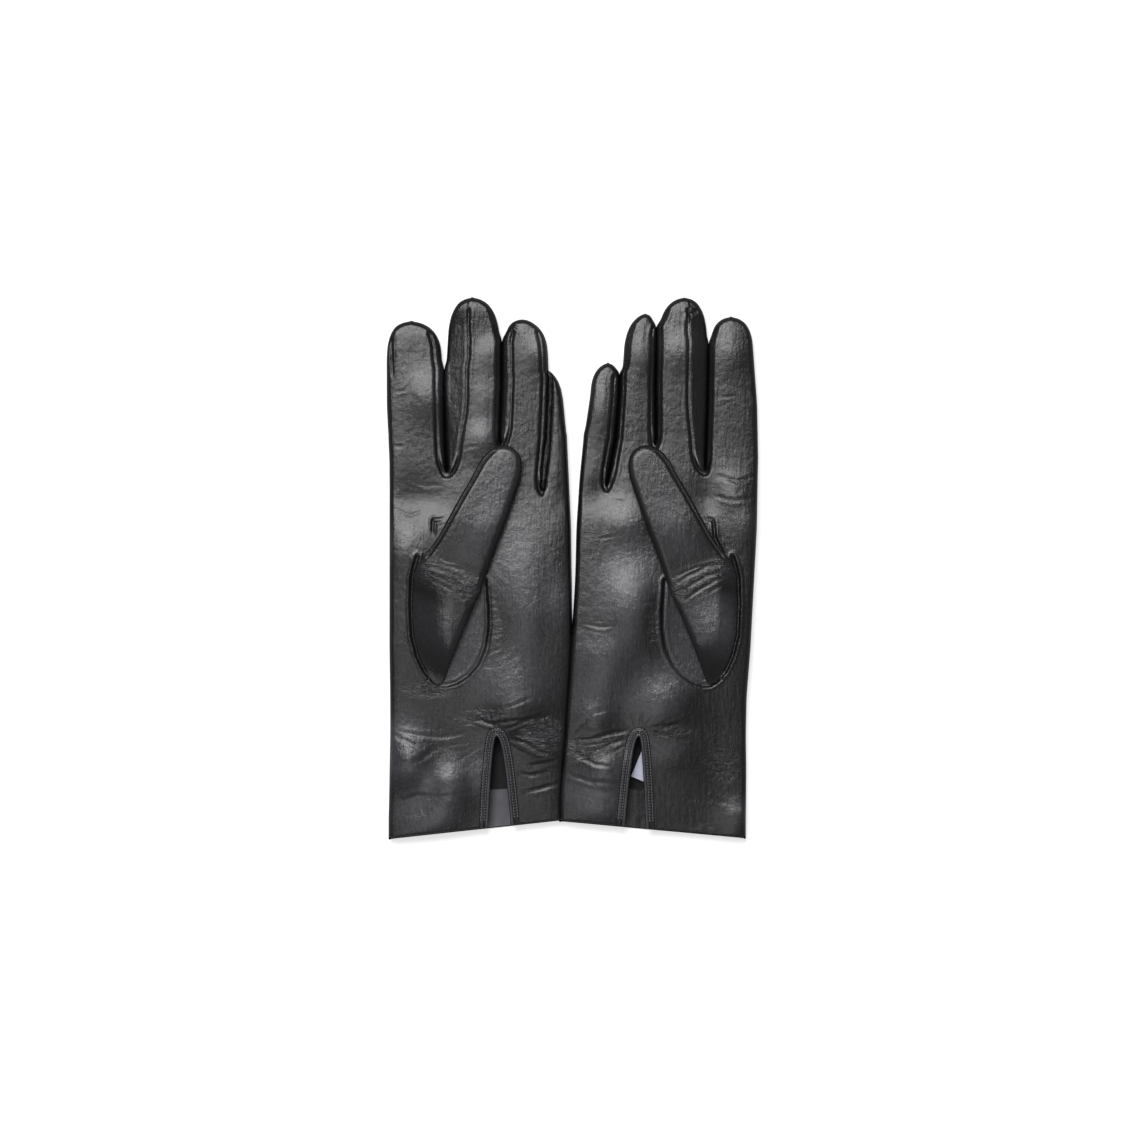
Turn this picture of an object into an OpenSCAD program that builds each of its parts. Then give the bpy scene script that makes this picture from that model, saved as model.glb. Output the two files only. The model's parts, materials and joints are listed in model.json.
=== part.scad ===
// A pair of unlined-looking, silk-lined dress gloves in thin black leather,
// lying palm up with the thumbs folded over the palms.
// +Z is up, +Y runs from the cuffs to the fingertips, and the gloves rest on z = 0.

/* [Leather] */
// Thickness of the glove leather
leather = 0.9; // [0.7:0.1:1.0]
// Thickness of the silk lining
silk = 0.4; // [0.3:0.1:0.5]
// Clearance between the leather and what is sewn inside it
ease = 0.1; // [0.1:0.05:0.2]

/* [Palm] */
// Height of the palm where it is fullest
palm_h = 12.8; // [11:0.2:13]
// Height of the cuff at its mouth
cuff_h = 9; // [8.6:0.2:10]
// Depth of the leather facing turned into the cuff
facing_depth = 16; // [14:1:18]

/* [Fingers] */
// Height of a finger at its root
finger_h = 10.5; // [9.5:0.1:11]
// Gap between a finger's root and the palm it folds against
root_gap = 0.3; // [0.2:0.05:0.4]

/* [Thumb] */
// Height of the thumb
thumb_h = 9.5; // [9:0.1:10]
// Angle of the thumb across the palm, from the line of the fingers
thumb_tilt = 22.8; // [18:0.2:26]

/* [Trim] */
// Width of the binding round the cuff's vent
binding_w = 3.6; // [3:0.1:4]
// Thickness of the binding
binding_t = 0.7; // [0.5:0.1:0.9]
// Thickness of the sewing thread
thread_t = 0.4; // [0.3:0.1:0.5]

/* [Hidden] */
SIDES = ["left", "right"];
FINGERS = ["index", "middle", "ring", "little"];

leather_colour = [0.10, 0.10, 0.11];
inner_colour = [0.16, 0.16, 0.17];
silk_colour = [0.07, 0.07, 0.09];
thread_colour = [0.03, 0.03, 0.03];
label_colour = [0.88, 0.88, 0.93];

// A finger is [outline rows [y, low x, high x], tip [x, y], full height, seam angles].
// The seam angles are those of the palm face's low-x and high-x seams, then of the back's,
// all measured from the high-x side of the section. A finger's root is its first row.
LEFT_FINGERS = [
    [[[47, -85.1, -59.7], [75, -86.4, -60.0], [97, -86.5, -60.6]], [-76, 114.4], finger_h, [172, 35, 188, -30]],
    [[[60, -58.7, -34.2], [85, -59.3, -33.2], [103, -58.3, -33.6]], [-47, 125.4], finger_h, [105, 20, 205, -25]],
    [[[60, -33.6, -11.9], [85, -32.6, -10.9], [98, -32.4, -11.3]], [-24.8, 115], finger_h, [135, 40, 205, -25]],
    [[[38, -13.0, -1.7], [60, -11.2, -2.7], [74, -10.3, -3.9]], [-8.8, 91], finger_h + 1, [140, 8, 205, -8]]];
RIGHT_FINGERS = [
    [[[47, 61.9, 86.5], [75, 63.2, 86.0], [100, 63.7, 84.2]], [73.5, 116.4], finger_h, [150, 8, 210, -8]],
    [[[60, 39.2, 62.0], [85, 38.9, 62.6], [104, 39.6, 62.9]], [52.6, 125.2], finger_h, [160, 70, 205, -25]],
    [[[60, 20.6, 38.6], [85, 22.5, 38.3], [96, 23.6, 38.5]], [35.6, 117.8], finger_h, [155, 40, 205, -25]],
    [[[40, 3.4, 15.0], [60, 5.3, 19.6], [80, 8.3, 21.4]], [18.2, 95], finger_h, [172, 50, 188, -25]]];

// The palm is rows [y, low x, high x, height], from the cuff's mouth to the longest finger's root.
LEFT_PALM = [[-121, -86.0, -6.6, cuff_h], [-105, -85.4, -5.6, 9.8], [-91, -85.1, -4.7, 10.4],
             [-78.5, -84.8, -3.8, 11], [-61, -84.8, -2.4, 11.8], [-38, -85.1, -0.8, palm_h],
             [-8, -85.1, -0.5, palm_h], [18, -85.1, -0.8, 12.4], [38, -85.1, -1.7, 11.8],
             [47, -85.2, -2, 11.3], [60, -85.4, -3, 10.6]];
RIGHT_PALM = [[-121, -4.4, 80.6, cuff_h], [-105, -4.2, 80.8, 9.8], [-91, -3.6, 80.9, 10.4],
              [-78.5, -2.8, 80.7, 11], [-61, -1.5, 81.0, 11.8], [-38, 0.1, 82.8, palm_h],
              [-8, 1.4, 84.4, palm_h], [18, 2.0, 85.8, 12.4], [40, 3.4, 86.2, 11.8],
              [47, 3.6, 86.3, 11.3], [60, 4.2, 86.4, 10.6]];

// Rise of the cuff's mouth across the palm, from its low-x side to its high-x side, about the first row.
LEFT_SLANT = [-4.4, 4.4];
RIGHT_SLANT = [4.0, -4.0];

// The vent is [apex [x, y], foot low x, foot high x].
LEFT_VENT = [[-35.2, -78.5], -39.2, -28.6];
RIGHT_VENT = [[30.8, -78.5], 24.4, 34.0];

// Thumb outline in its own frame: [along, low across, high across, height], along from the thumb's crease.
THUMB_ROWS = [[root_gap, -16.8, 15.1, thumb_h], [15, -12.8, 14.1, thumb_h], [35, -10.8, 13.6, thumb_h],
              [50, -8.8, 12.4, thumb_h - 0.3]];
THUMB_TIP = [2.2, 68];
ROOT_ROWS = [[-45.5, 12.4, 15.6, 2.4], [-43, 6.5, 15.4, 3.6], [-38, 0.6, 15.2, 5.2], [-30, -5.5, 15, 7],
             [-17, -11.6, 14.8, 8.6], [-6, -15.9, 14.9, 9.4], [0, -16.9, 15.1, 9.6]];
LEFT_THUMB_AT = [-56.8, -6.3];
RIGHT_THUMB_AT = [59.1, -6.3];
thumb_floor = palm_h + 0.5;
root_floor = palm_h + 0.1;
thumb_hole = [12, 33];    // width and length of the opening under the thumb
thumb_hole_at = [2, -21]; // its centre, in the thumb's frame

sink = 0.7;        // how far a section is cut by the floor, which gives it a flat rest
tip_power = 2.3;   // roundness of a fingertip in plan
blunt = 0.17;      // width of a fingertip's end, as a share of the finger's
TIP_STEPS = [0.35, 0.62, 0.82, 0.92];

function fingers(side) = side == 0 ? LEFT_FINGERS : RIGHT_FINGERS;
function palm(side) = side == 0 ? LEFT_PALM : RIGHT_PALM;
function slant(side) = side == 0 ? LEFT_SLANT : RIGHT_SLANT;
function vent(side) = side == 0 ? LEFT_VENT : RIGHT_VENT;

function mix(a, b, t) = a + (b - a) * t;
function signed_pow(v, p) = sign(v) * pow(abs(v), p);

// One closed solid from two grids of points, the outer and the inner face of a skin.
// Cells in any of the holes [row0, row1, col0, col1] are left out; wrap closes the grid round,
// and a capped end is closed over. Rows run from the root to the tip.
module skin(outer, inner, holes = [], wrap = true, cap = false) {
    rows = len(outer);
    cols = len(outer[0]);
    count = rows * cols;
    last = wrap ? cols : cols - 1;
    function at(i, j) = i * cols + (j + cols) % cols;
    function kept(i, j) = let (c = wrap ? (j + cols) % cols : j)
        i >= 0 && i < rows - 1 && c >= 0 && c < last
        && len([for (h = holes) if (i >= h[0] && i < h[1] && c >= h[2] && c < h[3]) 1]) == 0;
    function quad(a, b, c, d) = [[a, b, c], [a, c, d]];
    // Both kinds of wall are split from the same corner, so that two skins meet face to face.
    function wall(a, b) = quad(a, b, b + count, a + count);
    function facing_wall(a, b) = quad(b, b + count, a + count, a);
    sides = [for (i = [0 : rows - 2]) for (j = [0 : last - 1]) if (kept(i, j)) each concat(
        quad(at(i, j), at(i, j + 1), at(i + 1, j + 1), at(i + 1, j)),
        quad(count + at(i, j), count + at(i + 1, j), count + at(i + 1, j + 1), count + at(i, j + 1)),
        kept(i - 1, j) ? [] : wall(at(i, j + 1), at(i, j)),
        kept(i + 1, j) || (cap && i == rows - 2) ? [] : facing_wall(at(i + 1, j), at(i + 1, j + 1)),
        kept(i, j - 1) ? [] : facing_wall(at(i, j), at(i + 1, j)),
        kept(i, j + 1) ? [] : wall(at(i + 1, j + 1), at(i, j + 1)))];
    ends = cap ? [for (j = [1 : cols - 2]) each [
        [at(rows - 1, 0), at(rows - 1, j), at(rows - 1, j + 1)],
        [count + at(rows - 1, 0), count + at(rows - 1, j + 1), count + at(rows - 1, j)]]] : [];
    points = concat([for (r = outer) each r], [for (r = inner) each r]);
    polyhedron(points = points, faces = [for (f = concat(sides, ends)) [f[0], f[2], f[1]]]);
}

// A point of a flattened section [y, low x, high x, height] at an angle, set in from its outside.
function section_point(row, angle, inset, p) = let (
    half_w = (row[2] - row[1]) / 2 - inset,
    half_h = row[3] / 2 - inset,
    drop = sin(angle) < 0 ? sink : 0)
    [(row[1] + row[2]) / 2 + half_w * signed_pow(cos(angle), 2 / p), row[0],
     max(row[3] / 2 + (half_h + drop) * signed_pow(sin(angle), 2 / p), inset)];

// Rows of a tapering tube: the given rows, then the steps of a rounded tip at [x, y].
function tip_rows(rows, tip) = let (
    end = rows[len(rows) - 1],
    run = tip[1] - end[0])
    concat(rows,
        [for (u = TIP_STEPS) let (w = pow(1 - pow(u, tip_power), 1 / tip_power))
            [end[0] + run * u, tip[0] + (end[1] - tip[0]) * w, tip[0] + (end[2] - tip[0]) * w,
             end[3] * mix(0.3, 1, pow(w, 1.3))]],
        [[tip[1], tip[0] + (end[1] - tip[0]) * blunt, tip[0] + (end[2] - tip[0]) * blunt, end[3] * 0.32]]);

function finger_rows(f) = let (rows = f[0], h = f[2])
    tip_rows([for (i = [0 : len(rows) - 1])
        [rows[i][0] + (i == 0 ? root_gap : 0), rows[i][1], rows[i][2], h - 0.4 * i]], f[1]);

// Angles round a finger: high-x fourchette, palm face, low-x fourchette, back.
// Towards the tip the fourchettes narrow to points.
FOURCHETTE_CELLS = 3;
FACE_CELLS = 7;
function finger_angles(seams, taper) = let (
    high = (seams[1] + seams[3]) / 2, high_half = (seams[1] - seams[3]) / 2 * taper,
    low = (seams[0] + seams[2]) / 2, low_half = (seams[2] - seams[0]) / 2 * taper)
    concat([for (k = [0 : FOURCHETTE_CELLS - 1]) mix(high - high_half, high + high_half, k / FOURCHETTE_CELLS)],
           [for (k = [0 : FACE_CELLS - 1]) mix(high + high_half, low - low_half, k / FACE_CELLS)],
           [for (k = [0 : FOURCHETTE_CELLS - 1]) mix(low - low_half, low + low_half, k / FOURCHETTE_CELLS)],
           [for (k = [0 : FACE_CELLS - 1]) mix(low + low_half, 360 + high - high_half, k / FACE_CELLS)]);
TAPERS = [1, 1, 0.9, 0.72, 0.45, 0.2, 0.2, 0.2];
FOURCHETTE_ROWS = 5;

function finger_grid(f, inset, drop_tip = 0) = let (rows = finger_rows(f), n = len(rows) - drop_tip)
    [for (i = [0 : n - 1]) let (end = i == n - 1)
        [for (a = finger_angles(f[3], TAPERS[i]))
            section_point(rows[i], a, inset, 2.6) - (end ? [0, inset, 0] : [0, 0, 0])]];

// Columns of the fourchette cells of a finger; a side with none is part of the leather's fold.
HIGH_SIDE = [0, FOURCHETTE_CELLS];
LOW_SIDE = [FOURCHETTE_CELLS + FACE_CELLS, 2 * FOURCHETTE_CELLS + FACE_CELLS];
function fourchette_sides(side, i) = let (
    outer = side == 0 ? HIGH_SIDE : LOW_SIDE, inner = side == 0 ? LOW_SIDE : HIGH_SIDE)
    i == 0 ? [outer] : i == 3 ? [inner] : [inner, outer];

// The trank's leather round one finger, open where its fourchettes are sewn in.
module finger(side, i) {
    f = fingers(side)[i];
    color(leather_colour)
        skin(finger_grid(f, 0), finger_grid(f, leather), cap = true,
             holes = [for (c = fourchette_sides(side, i)) [0, FOURCHETTE_ROWS, c[0], c[1]]]);
}

// One fourchette, the strip sewn between a finger's palm face and its back.
module fourchette(side, i, which) {
    f = fingers(side)[i];
    c = fourchette_sides(side, i)[which];
    function strip(inset) = let (g = finger_grid(f, inset))
        [for (r = [0 : FOURCHETTE_ROWS]) [for (j = [c[0] : c[1]]) g[r][j]]];
    color(inner_colour)
        skin(strip(0), strip(leather), wrap = false);
}

// The silk tube inside one finger.
module finger_lining(side, i) {
    f = fingers(side)[i];
    color(silk_colour)
        skin(finger_grid(f, leather + ease, 1), finger_grid(f, leather + ease + silk, 1), cap = true);
}

// Shares of a palm row's top at which its columns stand, from the low-x side.
// Named columns follow the vent's two edges and the lines between the fingers.
EDGE_SHARES = [0, 0.006, 0.025, 0.07, 0.15];
function edge_w(x0, x1, s) = mix(x0, x1, s);
function top_columns(side, row) = let (
    f = fingers(side), low = row[1], high = row[2], v = vent(side),
    // index and middle, middle and ring, ring and little, in order of x
    first = side == 0 ? f[0][0][0][2] + 0.5 : little_line(side, row[0]),
    last = side == 0 ? little_line(side, row[0]) : f[0][0][0][1] - 0.5,
    up = max(0, min(1, (row[0] - v[0][1]) / (36 - v[0][1]))),
    down = max(0, min(1, (v[0][1] - row[0]) / (v[0][1] + 121))),
    vent_low = mix(v[0][0] - 0.4, v[1], sqrt(down)) + (side == 0 ? -10 : 4) * up,
    vent_high = mix(v[0][0] + 0.4, v[2], sqrt(down)) + (side == 0 ? -4 : 10) * up)
    concat([for (s = EDGE_SHARES) mix(low, first, s / 0.3 * 0.9)],
           [first, mix(first, vent_low, 0.5), vent_low, vent_high, mix(vent_high, last, 0.5), last],
           [for (k = [len(EDGE_SHARES) - 1 : -1 : 0]) mix(high, last, EDGE_SHARES[k] / 0.3 * 0.9)]);
// The line between the ring and little fingers, which leans with the little finger.
function little_line(side, y) = side == 0 ? fingers(0)[3][0][0][1] - 0.6
    : fingers(1)[3][0][0][2] + 0.7 + max(0, y - 40) * 0.22;
VENT_COLUMN = len(EDGE_SHARES) + 2;
FIRST_LINE = len(EDGE_SHARES);
LAST_LINE = len(EDGE_SHARES) + 5;
TOP_COLUMNS = 2 * len(EDGE_SHARES) + 6;
VENT_ROWS = 3;

PALM_POWER = 4;
function palm_z(row, x, inset, top) = let (
    half_w = (row[2] - row[1]) / 2 - inset,
    s = min(1, abs(x - (row[1] + row[2]) / 2) / half_w),
    rise = pow(1 - pow(s, PALM_POWER), 1 / 2.6))
    top ? row[3] / 2 + (row[3] / 2 - inset) * rise
        : max(row[3] / 2 - (row[3] / 2 - inset + sink) * rise, inset);

// How far a row is slanted at x: the cuff's mouth is, and it fades out by the vent's apex.
function slant_at(side, row, x) = let (s = slant(side), fade = max(0, min(1, (-78.5 - row[0]) / 42.5)))
    mix(s[0], s[1], (x - row[1]) / (row[2] - row[1])) * fade;

// One closed ring of a palm row: the top from low x to high x, then the back.
function palm_ring(side, row, inset) = let (
    cols = top_columns(side, row), n = len(cols), mid = (row[1] + row[2]) / 2,
    half_w = (row[2] - row[1]) / 2, k = (half_w - inset) / half_w,
    xs = [for (c = cols) mid + (c - mid) * k])
    concat([for (x = xs) [x, row[0] + slant_at(side, row, x), palm_z(row, x, inset, true)]],
           [for (i = [n - 2 : -1 : 1])
               [xs[i], row[0] + slant_at(side, row, xs[i]), palm_z(row, xs[i], inset, false)]]);

// Palm rows between two heights on the hand, with a row made at each end.
function row_at(rows, y) = let (
    i = max([for (k = [0 : len(rows) - 2]) if (rows[k][0] <= y || k == 0) k]),
    t = (y - rows[i][0]) / (rows[i + 1][0] - rows[i][0]))
    [for (c = [0 : 3]) mix(rows[i][c], rows[i + 1][c], t)];
function rows_between(side, y0, y1) = let (rows = palm(side))
    concat([row_at(rows, y0)], [for (r = rows) if (r[0] > y0 + 1 && r[0] < y1 - 1) r], [row_at(rows, y1)]);

// Where each finger's root cuts the palm: the middle and ring roots stand higher than the outer two.
function root_holes(side) = let (
    index_cols = side == 0 ? [0, FIRST_LINE] : [LAST_LINE, TOP_COLUMNS - 1],
    little_cols = side == 0 ? [LAST_LINE, TOP_COLUMNS - 1] : [0, FIRST_LINE],
    back = 2 * TOP_COLUMNS - 2)
    [[9, 10, index_cols[0], index_cols[1]], [9, 10, back - index_cols[1], back - index_cols[0]],
     [8, 10, little_cols[0], little_cols[1]], [8, 10, back - little_cols[1], back - little_cols[0]]];

// A point of the thumb's frame in the glove's frame.
function thumb_x(at, a, b) = at[0] + a * sin(thumb_tilt) + b * cos(thumb_tilt);
function thumb_y(at, a, b) = at[1] + a * cos(thumb_tilt) - b * sin(thumb_tilt);

// Puts a thumb made in its own frame on its glove. The right thumb is the left one mirrored.
module on_palm(side) {
    at = side == 0 ? LEFT_THUMB_AT : RIGHT_THUMB_AT;
    translate([at[0], at[1], 0])
        mirror([side, 0, 0])
            rotate([0, 0, -thumb_tilt])
                children();
}

module thumb_opening(side, extra) {
    on_palm(side)
        translate([thumb_hole_at[0], thumb_hole_at[1], palm_h / 2])
            linear_extrude(palm_h)
                polygon([for (a = [0 : 18 : 342])
                    [(thumb_hole[0] / 2 + extra) * cos(a), (thumb_hole[1] / 2 + extra) * sin(a)]]);
}

// The trank's hand: palm and back in one skin, slit at the vent and cut for the thumb.
module trank(side) {
    rows = palm(side);
    color(leather_colour)
        difference() {
            skin([for (r = rows) palm_ring(side, r, 0)], [for (r = rows) palm_ring(side, r, leather)],
                 holes = concat([[0, VENT_ROWS, VENT_COLUMN, VENT_COLUMN + 1]], root_holes(side)));
            thumb_opening(side, 0);
        }
}

// The leather facing turned in round the cuff's mouth.
module hem_facing(side) {
    rows = rows_between(side, -121, -121 + facing_depth);
    color(inner_colour)
        skin([for (r = rows) palm_ring(side, r, leather + ease)],
             [for (r = rows) palm_ring(side, r, leather + ease + silk)],
             holes = [[0, len(rows) - 1, VENT_COLUMN, VENT_COLUMN + 1]]);
}

// The silk lining of the hand, from the facing to the roots of the fingers.
module palm_lining(side) {
    rows = rows_between(side, -121 + facing_depth + 0.5, 36);
    below_apex = len([for (r = rows) if (r[0] < -79) r]);
    color(silk_colour)
        difference() {
            skin([for (r = rows) palm_ring(side, r, leather + ease)],
                 [for (r = rows) palm_ring(side, r, leather + ease + silk)],
                 holes = [[0, below_apex, VENT_COLUMN, VENT_COLUMN + 1]]);
            thumb_opening(side, 0.5);
        }
}

// A line round the vent, at a distance outside its edge, from one foot over the apex to the other.
VENT_STEPS = [1, 0.75, 0.5, 0.3, 0.15, 0.05, 0.01];
function vent_line(side, off) = let (
    v = vent(side), foot_y = -121,
    low = [for (t = VENT_STEPS) [mix(v[0][0], v[1], sqrt(t)) - off, mix(v[0][1], foot_y, t) + off * (1 - t)]],
    high = [for (t = VENT_STEPS) [mix(v[0][0], v[2], sqrt(t)) + off, mix(v[0][1], foot_y, t) + off * (1 - t)]])
    concat(low, [[v[0][0], v[0][1] + off * 1.3]], [for (i = [len(high) - 1 : -1 : 0]) high[i]]);

function over_palm(side, p, lift) = let (row = row_at(palm(side), max(-120.9, p[1])))
    [p[0], p[1] + slant_at(side, row, p[0]), palm_z(row, p[0], 0, true) + lift];

// A flat band between two lines over the palm.
module band(side, off0, off1, lift, thick) {
    line0 = vent_line(side, off0);
    line1 = vent_line(side, off1);
    function face(z) = [for (i = [0 : len(line0) - 1])
        [over_palm(side, line0[i], z), over_palm(side, line1[i], z)]];
    skin(face(lift + thick), face(lift), wrap = false);
}

// The folded strip that binds the vent's edge.
module vent_binding(side) {
    color(leather_colour) band(side, 0.1, binding_w, 0.08, binding_t);
}

// The two rows of stitching round the vent.
module vent_thread(side) {
    color(thread_colour)
        for (off = [1.4, 3.2])
            band(side, off, off + thread_t, 0.08 + binding_t + 0.02, thread_t);
}

// The gussets that close the forks between the fingers.
module quirks(side) {
    f = fingers(side);
    index_fork = side == 0 ? f[0][0][0][2] + 0.55 : f[0][0][0][1] - 0.55 - leather;
    little_fork = little_line(side, 40) + (side == 0 ? -0.05 - leather : 0.05);
    middle_fork = side == 0 ? f[1][0][0][2] : f[2][0][0][2];
    lean = side == 0 ? 0 : 0.22 * 19;
    color(inner_colour) {
        translate([index_fork, 47.2, leather + ease])
            cube([leather, 12.6, finger_h - 2 * (leather + ease)]);
        translate([middle_fork, 56, leather + ease])
            cube([0.6, 3.8, finger_h - 2 * (leather + ease)]);
        translate([0, 0, leather + ease])
            linear_extrude(finger_h - 2 * (leather + ease) - 0.6)
                polygon([[little_fork, 40.6], [little_fork + leather, 40.6],
                         [little_fork + leather + lean, 59.6], [little_fork + lean, 59.6]]);
    }
}

function thumb_grid(inset, drop_tip = 0) = let (
    rows = tip_rows(THUMB_ROWS, THUMB_TIP), n = len(rows) - drop_tip)
    [for (i = [0 : n - 1])
        [for (k = [0 : 19]) section_point(rows[i], k * 18, inset, 2.6)
            + [0, i == n - 1 ? -inset : 0, thumb_floor]]];

// The thumb above its crease, a tube that lies on the palm.
module thumb(side) {
    color(leather_colour) on_palm(side) skin(thumb_grid(0), thumb_grid(leather), cap = true);
}

// The silk tube inside the thumb.
module thumb_lining(side) {
    color(silk_colour)
        on_palm(side)
            skin(thumb_grid(leather + ease, 1), thumb_grid(leather + ease + silk, 1), cap = true);
}

function arch_point(row, angle, inset) =
    [(row[1] + row[2]) / 2 + ((row[2] - row[1]) / 2 - inset) * signed_pow(cos(angle), 0.77), row[0],
     root_floor + (row[3] - inset) * pow(sin(angle), 0.77)];

// The root of the thumb, an arch over the opening in the palm.
module thumb_root(side) {
    function arches(inset) = [for (r = ROOT_ROWS) [for (k = [0 : 12]) arch_point(r, k * 15, inset)]];
    color(leather_colour) on_palm(side) skin(arches(0), arches(leather), wrap = false);
}

// The satin care label sewn flat to the back's lining, inside the right cuff.
module care_label() {
    color(label_colour)
        translate([30.5, -93, leather + ease + silk + 0.05])
            rotate([0, 0, 8])
                translate([-7, -12, 0])
                    cube([14, 22, 0.35]);
}

for (side = [0, 1]) {
    s = SIDES[side];
    trank(side);
    quirks(side);
    thumb_root(side);
    thumb(side);
    hem_facing(side);
    vent_binding(side);
    vent_thread(side);
    palm_lining(side);
    thumb_lining(side);
    for (i = [0 : 3]) {
        finger(side, i);
        finger_lining(side, i);
    }
    fourchette(side, 0, 0);
    fourchette(side, 1, 0);
    fourchette(side, 1, 1);
    fourchette(side, 2, 0);
    fourchette(side, 2, 1);
    fourchette(side, 3, 0);
}
care_label();  // right_care_label
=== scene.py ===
"""A pair of black leather dress gloves, lying palm up with the thumbs folded across the palms.

Run as a script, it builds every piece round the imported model's frame: the leather of the hands, fingers and
thumbs, the turned hems, the bound vents with their stitching, the silk lining, the care label and the stage.
"""
import functools
import json
import math

import bpy
import numpy as np
from bpy.props import FloatProperty, FloatVectorProperty, PointerProperty
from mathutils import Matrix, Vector


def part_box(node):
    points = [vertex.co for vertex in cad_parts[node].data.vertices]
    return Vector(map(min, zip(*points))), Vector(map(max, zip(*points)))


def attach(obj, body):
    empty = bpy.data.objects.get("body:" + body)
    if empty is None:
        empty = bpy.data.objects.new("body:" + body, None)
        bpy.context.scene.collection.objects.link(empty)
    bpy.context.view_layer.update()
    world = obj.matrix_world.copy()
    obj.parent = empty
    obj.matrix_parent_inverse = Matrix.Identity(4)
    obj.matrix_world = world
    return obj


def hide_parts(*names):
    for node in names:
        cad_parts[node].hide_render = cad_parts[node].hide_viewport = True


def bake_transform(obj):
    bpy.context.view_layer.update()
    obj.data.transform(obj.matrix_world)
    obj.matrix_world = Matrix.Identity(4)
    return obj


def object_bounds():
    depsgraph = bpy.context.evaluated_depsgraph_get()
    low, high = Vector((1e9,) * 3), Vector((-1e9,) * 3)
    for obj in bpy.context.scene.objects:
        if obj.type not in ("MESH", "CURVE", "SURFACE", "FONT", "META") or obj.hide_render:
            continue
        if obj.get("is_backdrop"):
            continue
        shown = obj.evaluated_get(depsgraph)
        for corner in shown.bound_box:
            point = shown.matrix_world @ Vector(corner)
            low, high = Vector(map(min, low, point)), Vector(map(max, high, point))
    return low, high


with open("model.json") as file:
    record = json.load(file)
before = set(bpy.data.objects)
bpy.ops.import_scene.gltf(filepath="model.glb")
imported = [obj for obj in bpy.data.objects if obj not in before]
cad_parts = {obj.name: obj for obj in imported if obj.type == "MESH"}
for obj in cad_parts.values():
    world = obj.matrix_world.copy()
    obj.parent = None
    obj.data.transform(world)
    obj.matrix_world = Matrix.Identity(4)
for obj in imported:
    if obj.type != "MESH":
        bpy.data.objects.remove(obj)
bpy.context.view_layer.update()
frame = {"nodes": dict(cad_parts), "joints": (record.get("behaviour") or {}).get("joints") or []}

bl_info = {
    "name": "Leather Dress Gloves",
    "version": (1, 0, 0),
    "blender": (4, 5, 0),
    "location": "View3D > Sidebar > Gloves",
    "description": "Builds a pair of leather dress gloves with bound vents and folded thumbs",
    "category": "Object",
}

MM = 0.001
# The fingers of each hand in order of x, the forks between them, and where each finger's palm face is
# sewn to its side strips, as shares of the finger's width. A share of None is a fold without a seam.
# Neighbouring fingers touch up to the first height under "touch", and stand free from the second.
HANDS = {
    "left": {
        "order": ("index", "middle", "ring", "little"),
        "forks": ((-58.4, 44.8), (-33.6, 57.6), (-14.0, 36.6)),
        "seams": ((None, 0.86), (0.40, 0.93), (0.22, 0.86), (None, None)),
        "touch": ((91, 97), (104, 110), (88, 91)),
        "vent": ((-35.2, -78.5), -39.2, -28.6),
        "slant": (-4.4, 4.4),
    },
    "right": {
        "order": ("little", "ring", "middle", "index"),
        "forks": ((16.0, 38.3), (38.6, 57.6), (61.8, 45.7)),
        "seams": ((None, 0.80), (0.12, 0.86), (0.08, 0.62), (0.07, None)),
        "touch": ((89, 93.5), (111, 116), (103, 108)),
        "vent": ((30.8, -78.5), 24.4, 34.0),
        "slant": (4.0, -4.0),
    },
}
# The cuffs' mouths, the station that the fingers stand free of the hand from, and a finger's height.
CUFF_Y, TOP_Y, FINGER_HEIGHT = -121.0, 60.15, 10.4
# How far the cuff's mouth is set in where it is turned to the inside, and where the turned facing ends.
ROLL, FACING_END = 0.9, -104.5
# Where the lining starts under the facing and ends at the finger roots, and how far in it lies.
LINING_START, LINING_END, LINING_INSET = -104.0, 35.5, ROLL + 0.35
# How far the facing and the lining lie below the palm's outside.
FACING_DROP, LINING_DROP = 1.3, 2.3


# ---------------------------------------------------------------- reading the frame

def joint(name):
    """One of the frame's joints."""
    return next(j for j in frame["joints"] if j["name"] == name)


def cad_edges(nodes):
    """The corners and edges of some CAD nodes together, in millimetres."""
    corners, edges, count = [], [], 0
    for name in nodes:
        mesh = frame["nodes"][name].data
        co = np.empty(len(mesh.vertices) * 3)
        mesh.vertices.foreach_get("co", co)
        ed = np.empty(len(mesh.edges) * 2, int)
        mesh.edges.foreach_get("vertices", ed)
        corners.append(co.reshape(-1, 3) / MM)
        edges.append(ed.reshape(-1, 2) + count)
        count += len(mesh.vertices)
    return np.concatenate(corners), np.concatenate(edges)


def slices(nodes, ys, turn=None):
    """For each station, the lowest and highest x of a cut across some CAD nodes, and its highest z."""
    v, e = cad_edges(nodes)
    if turn is not None:
        v = turn(v)
    a, b = v[e[:, 0]], v[e[:, 1]]
    rows = []
    for y in ys:
        hit = ((a[:, 1] - y) * (b[:, 1] - y) <= 0) & (abs(a[:, 1] - b[:, 1]) > 1e-6)
        t = (y - a[hit, 1]) / (b[hit, 1] - a[hit, 1])
        p = a[hit] + (b[hit] - a[hit]) * t[:, None]
        rows.append((p[:, 0].min(), p[:, 0].max(), p[:, 2].max()) if len(p) else (np.nan,) * 3)
    return np.array(rows)


def smoothed(values, reach):
    """A row of values with its corners rounded over a number of neighbours each side."""
    kernel = np.hanning(2 * reach + 3)[1:-1]
    padded = np.concatenate([np.full(reach, values[0]), values, np.full(reach, values[-1])])
    return np.convolve(padded, kernel / kernel.sum(), "valid")


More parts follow.
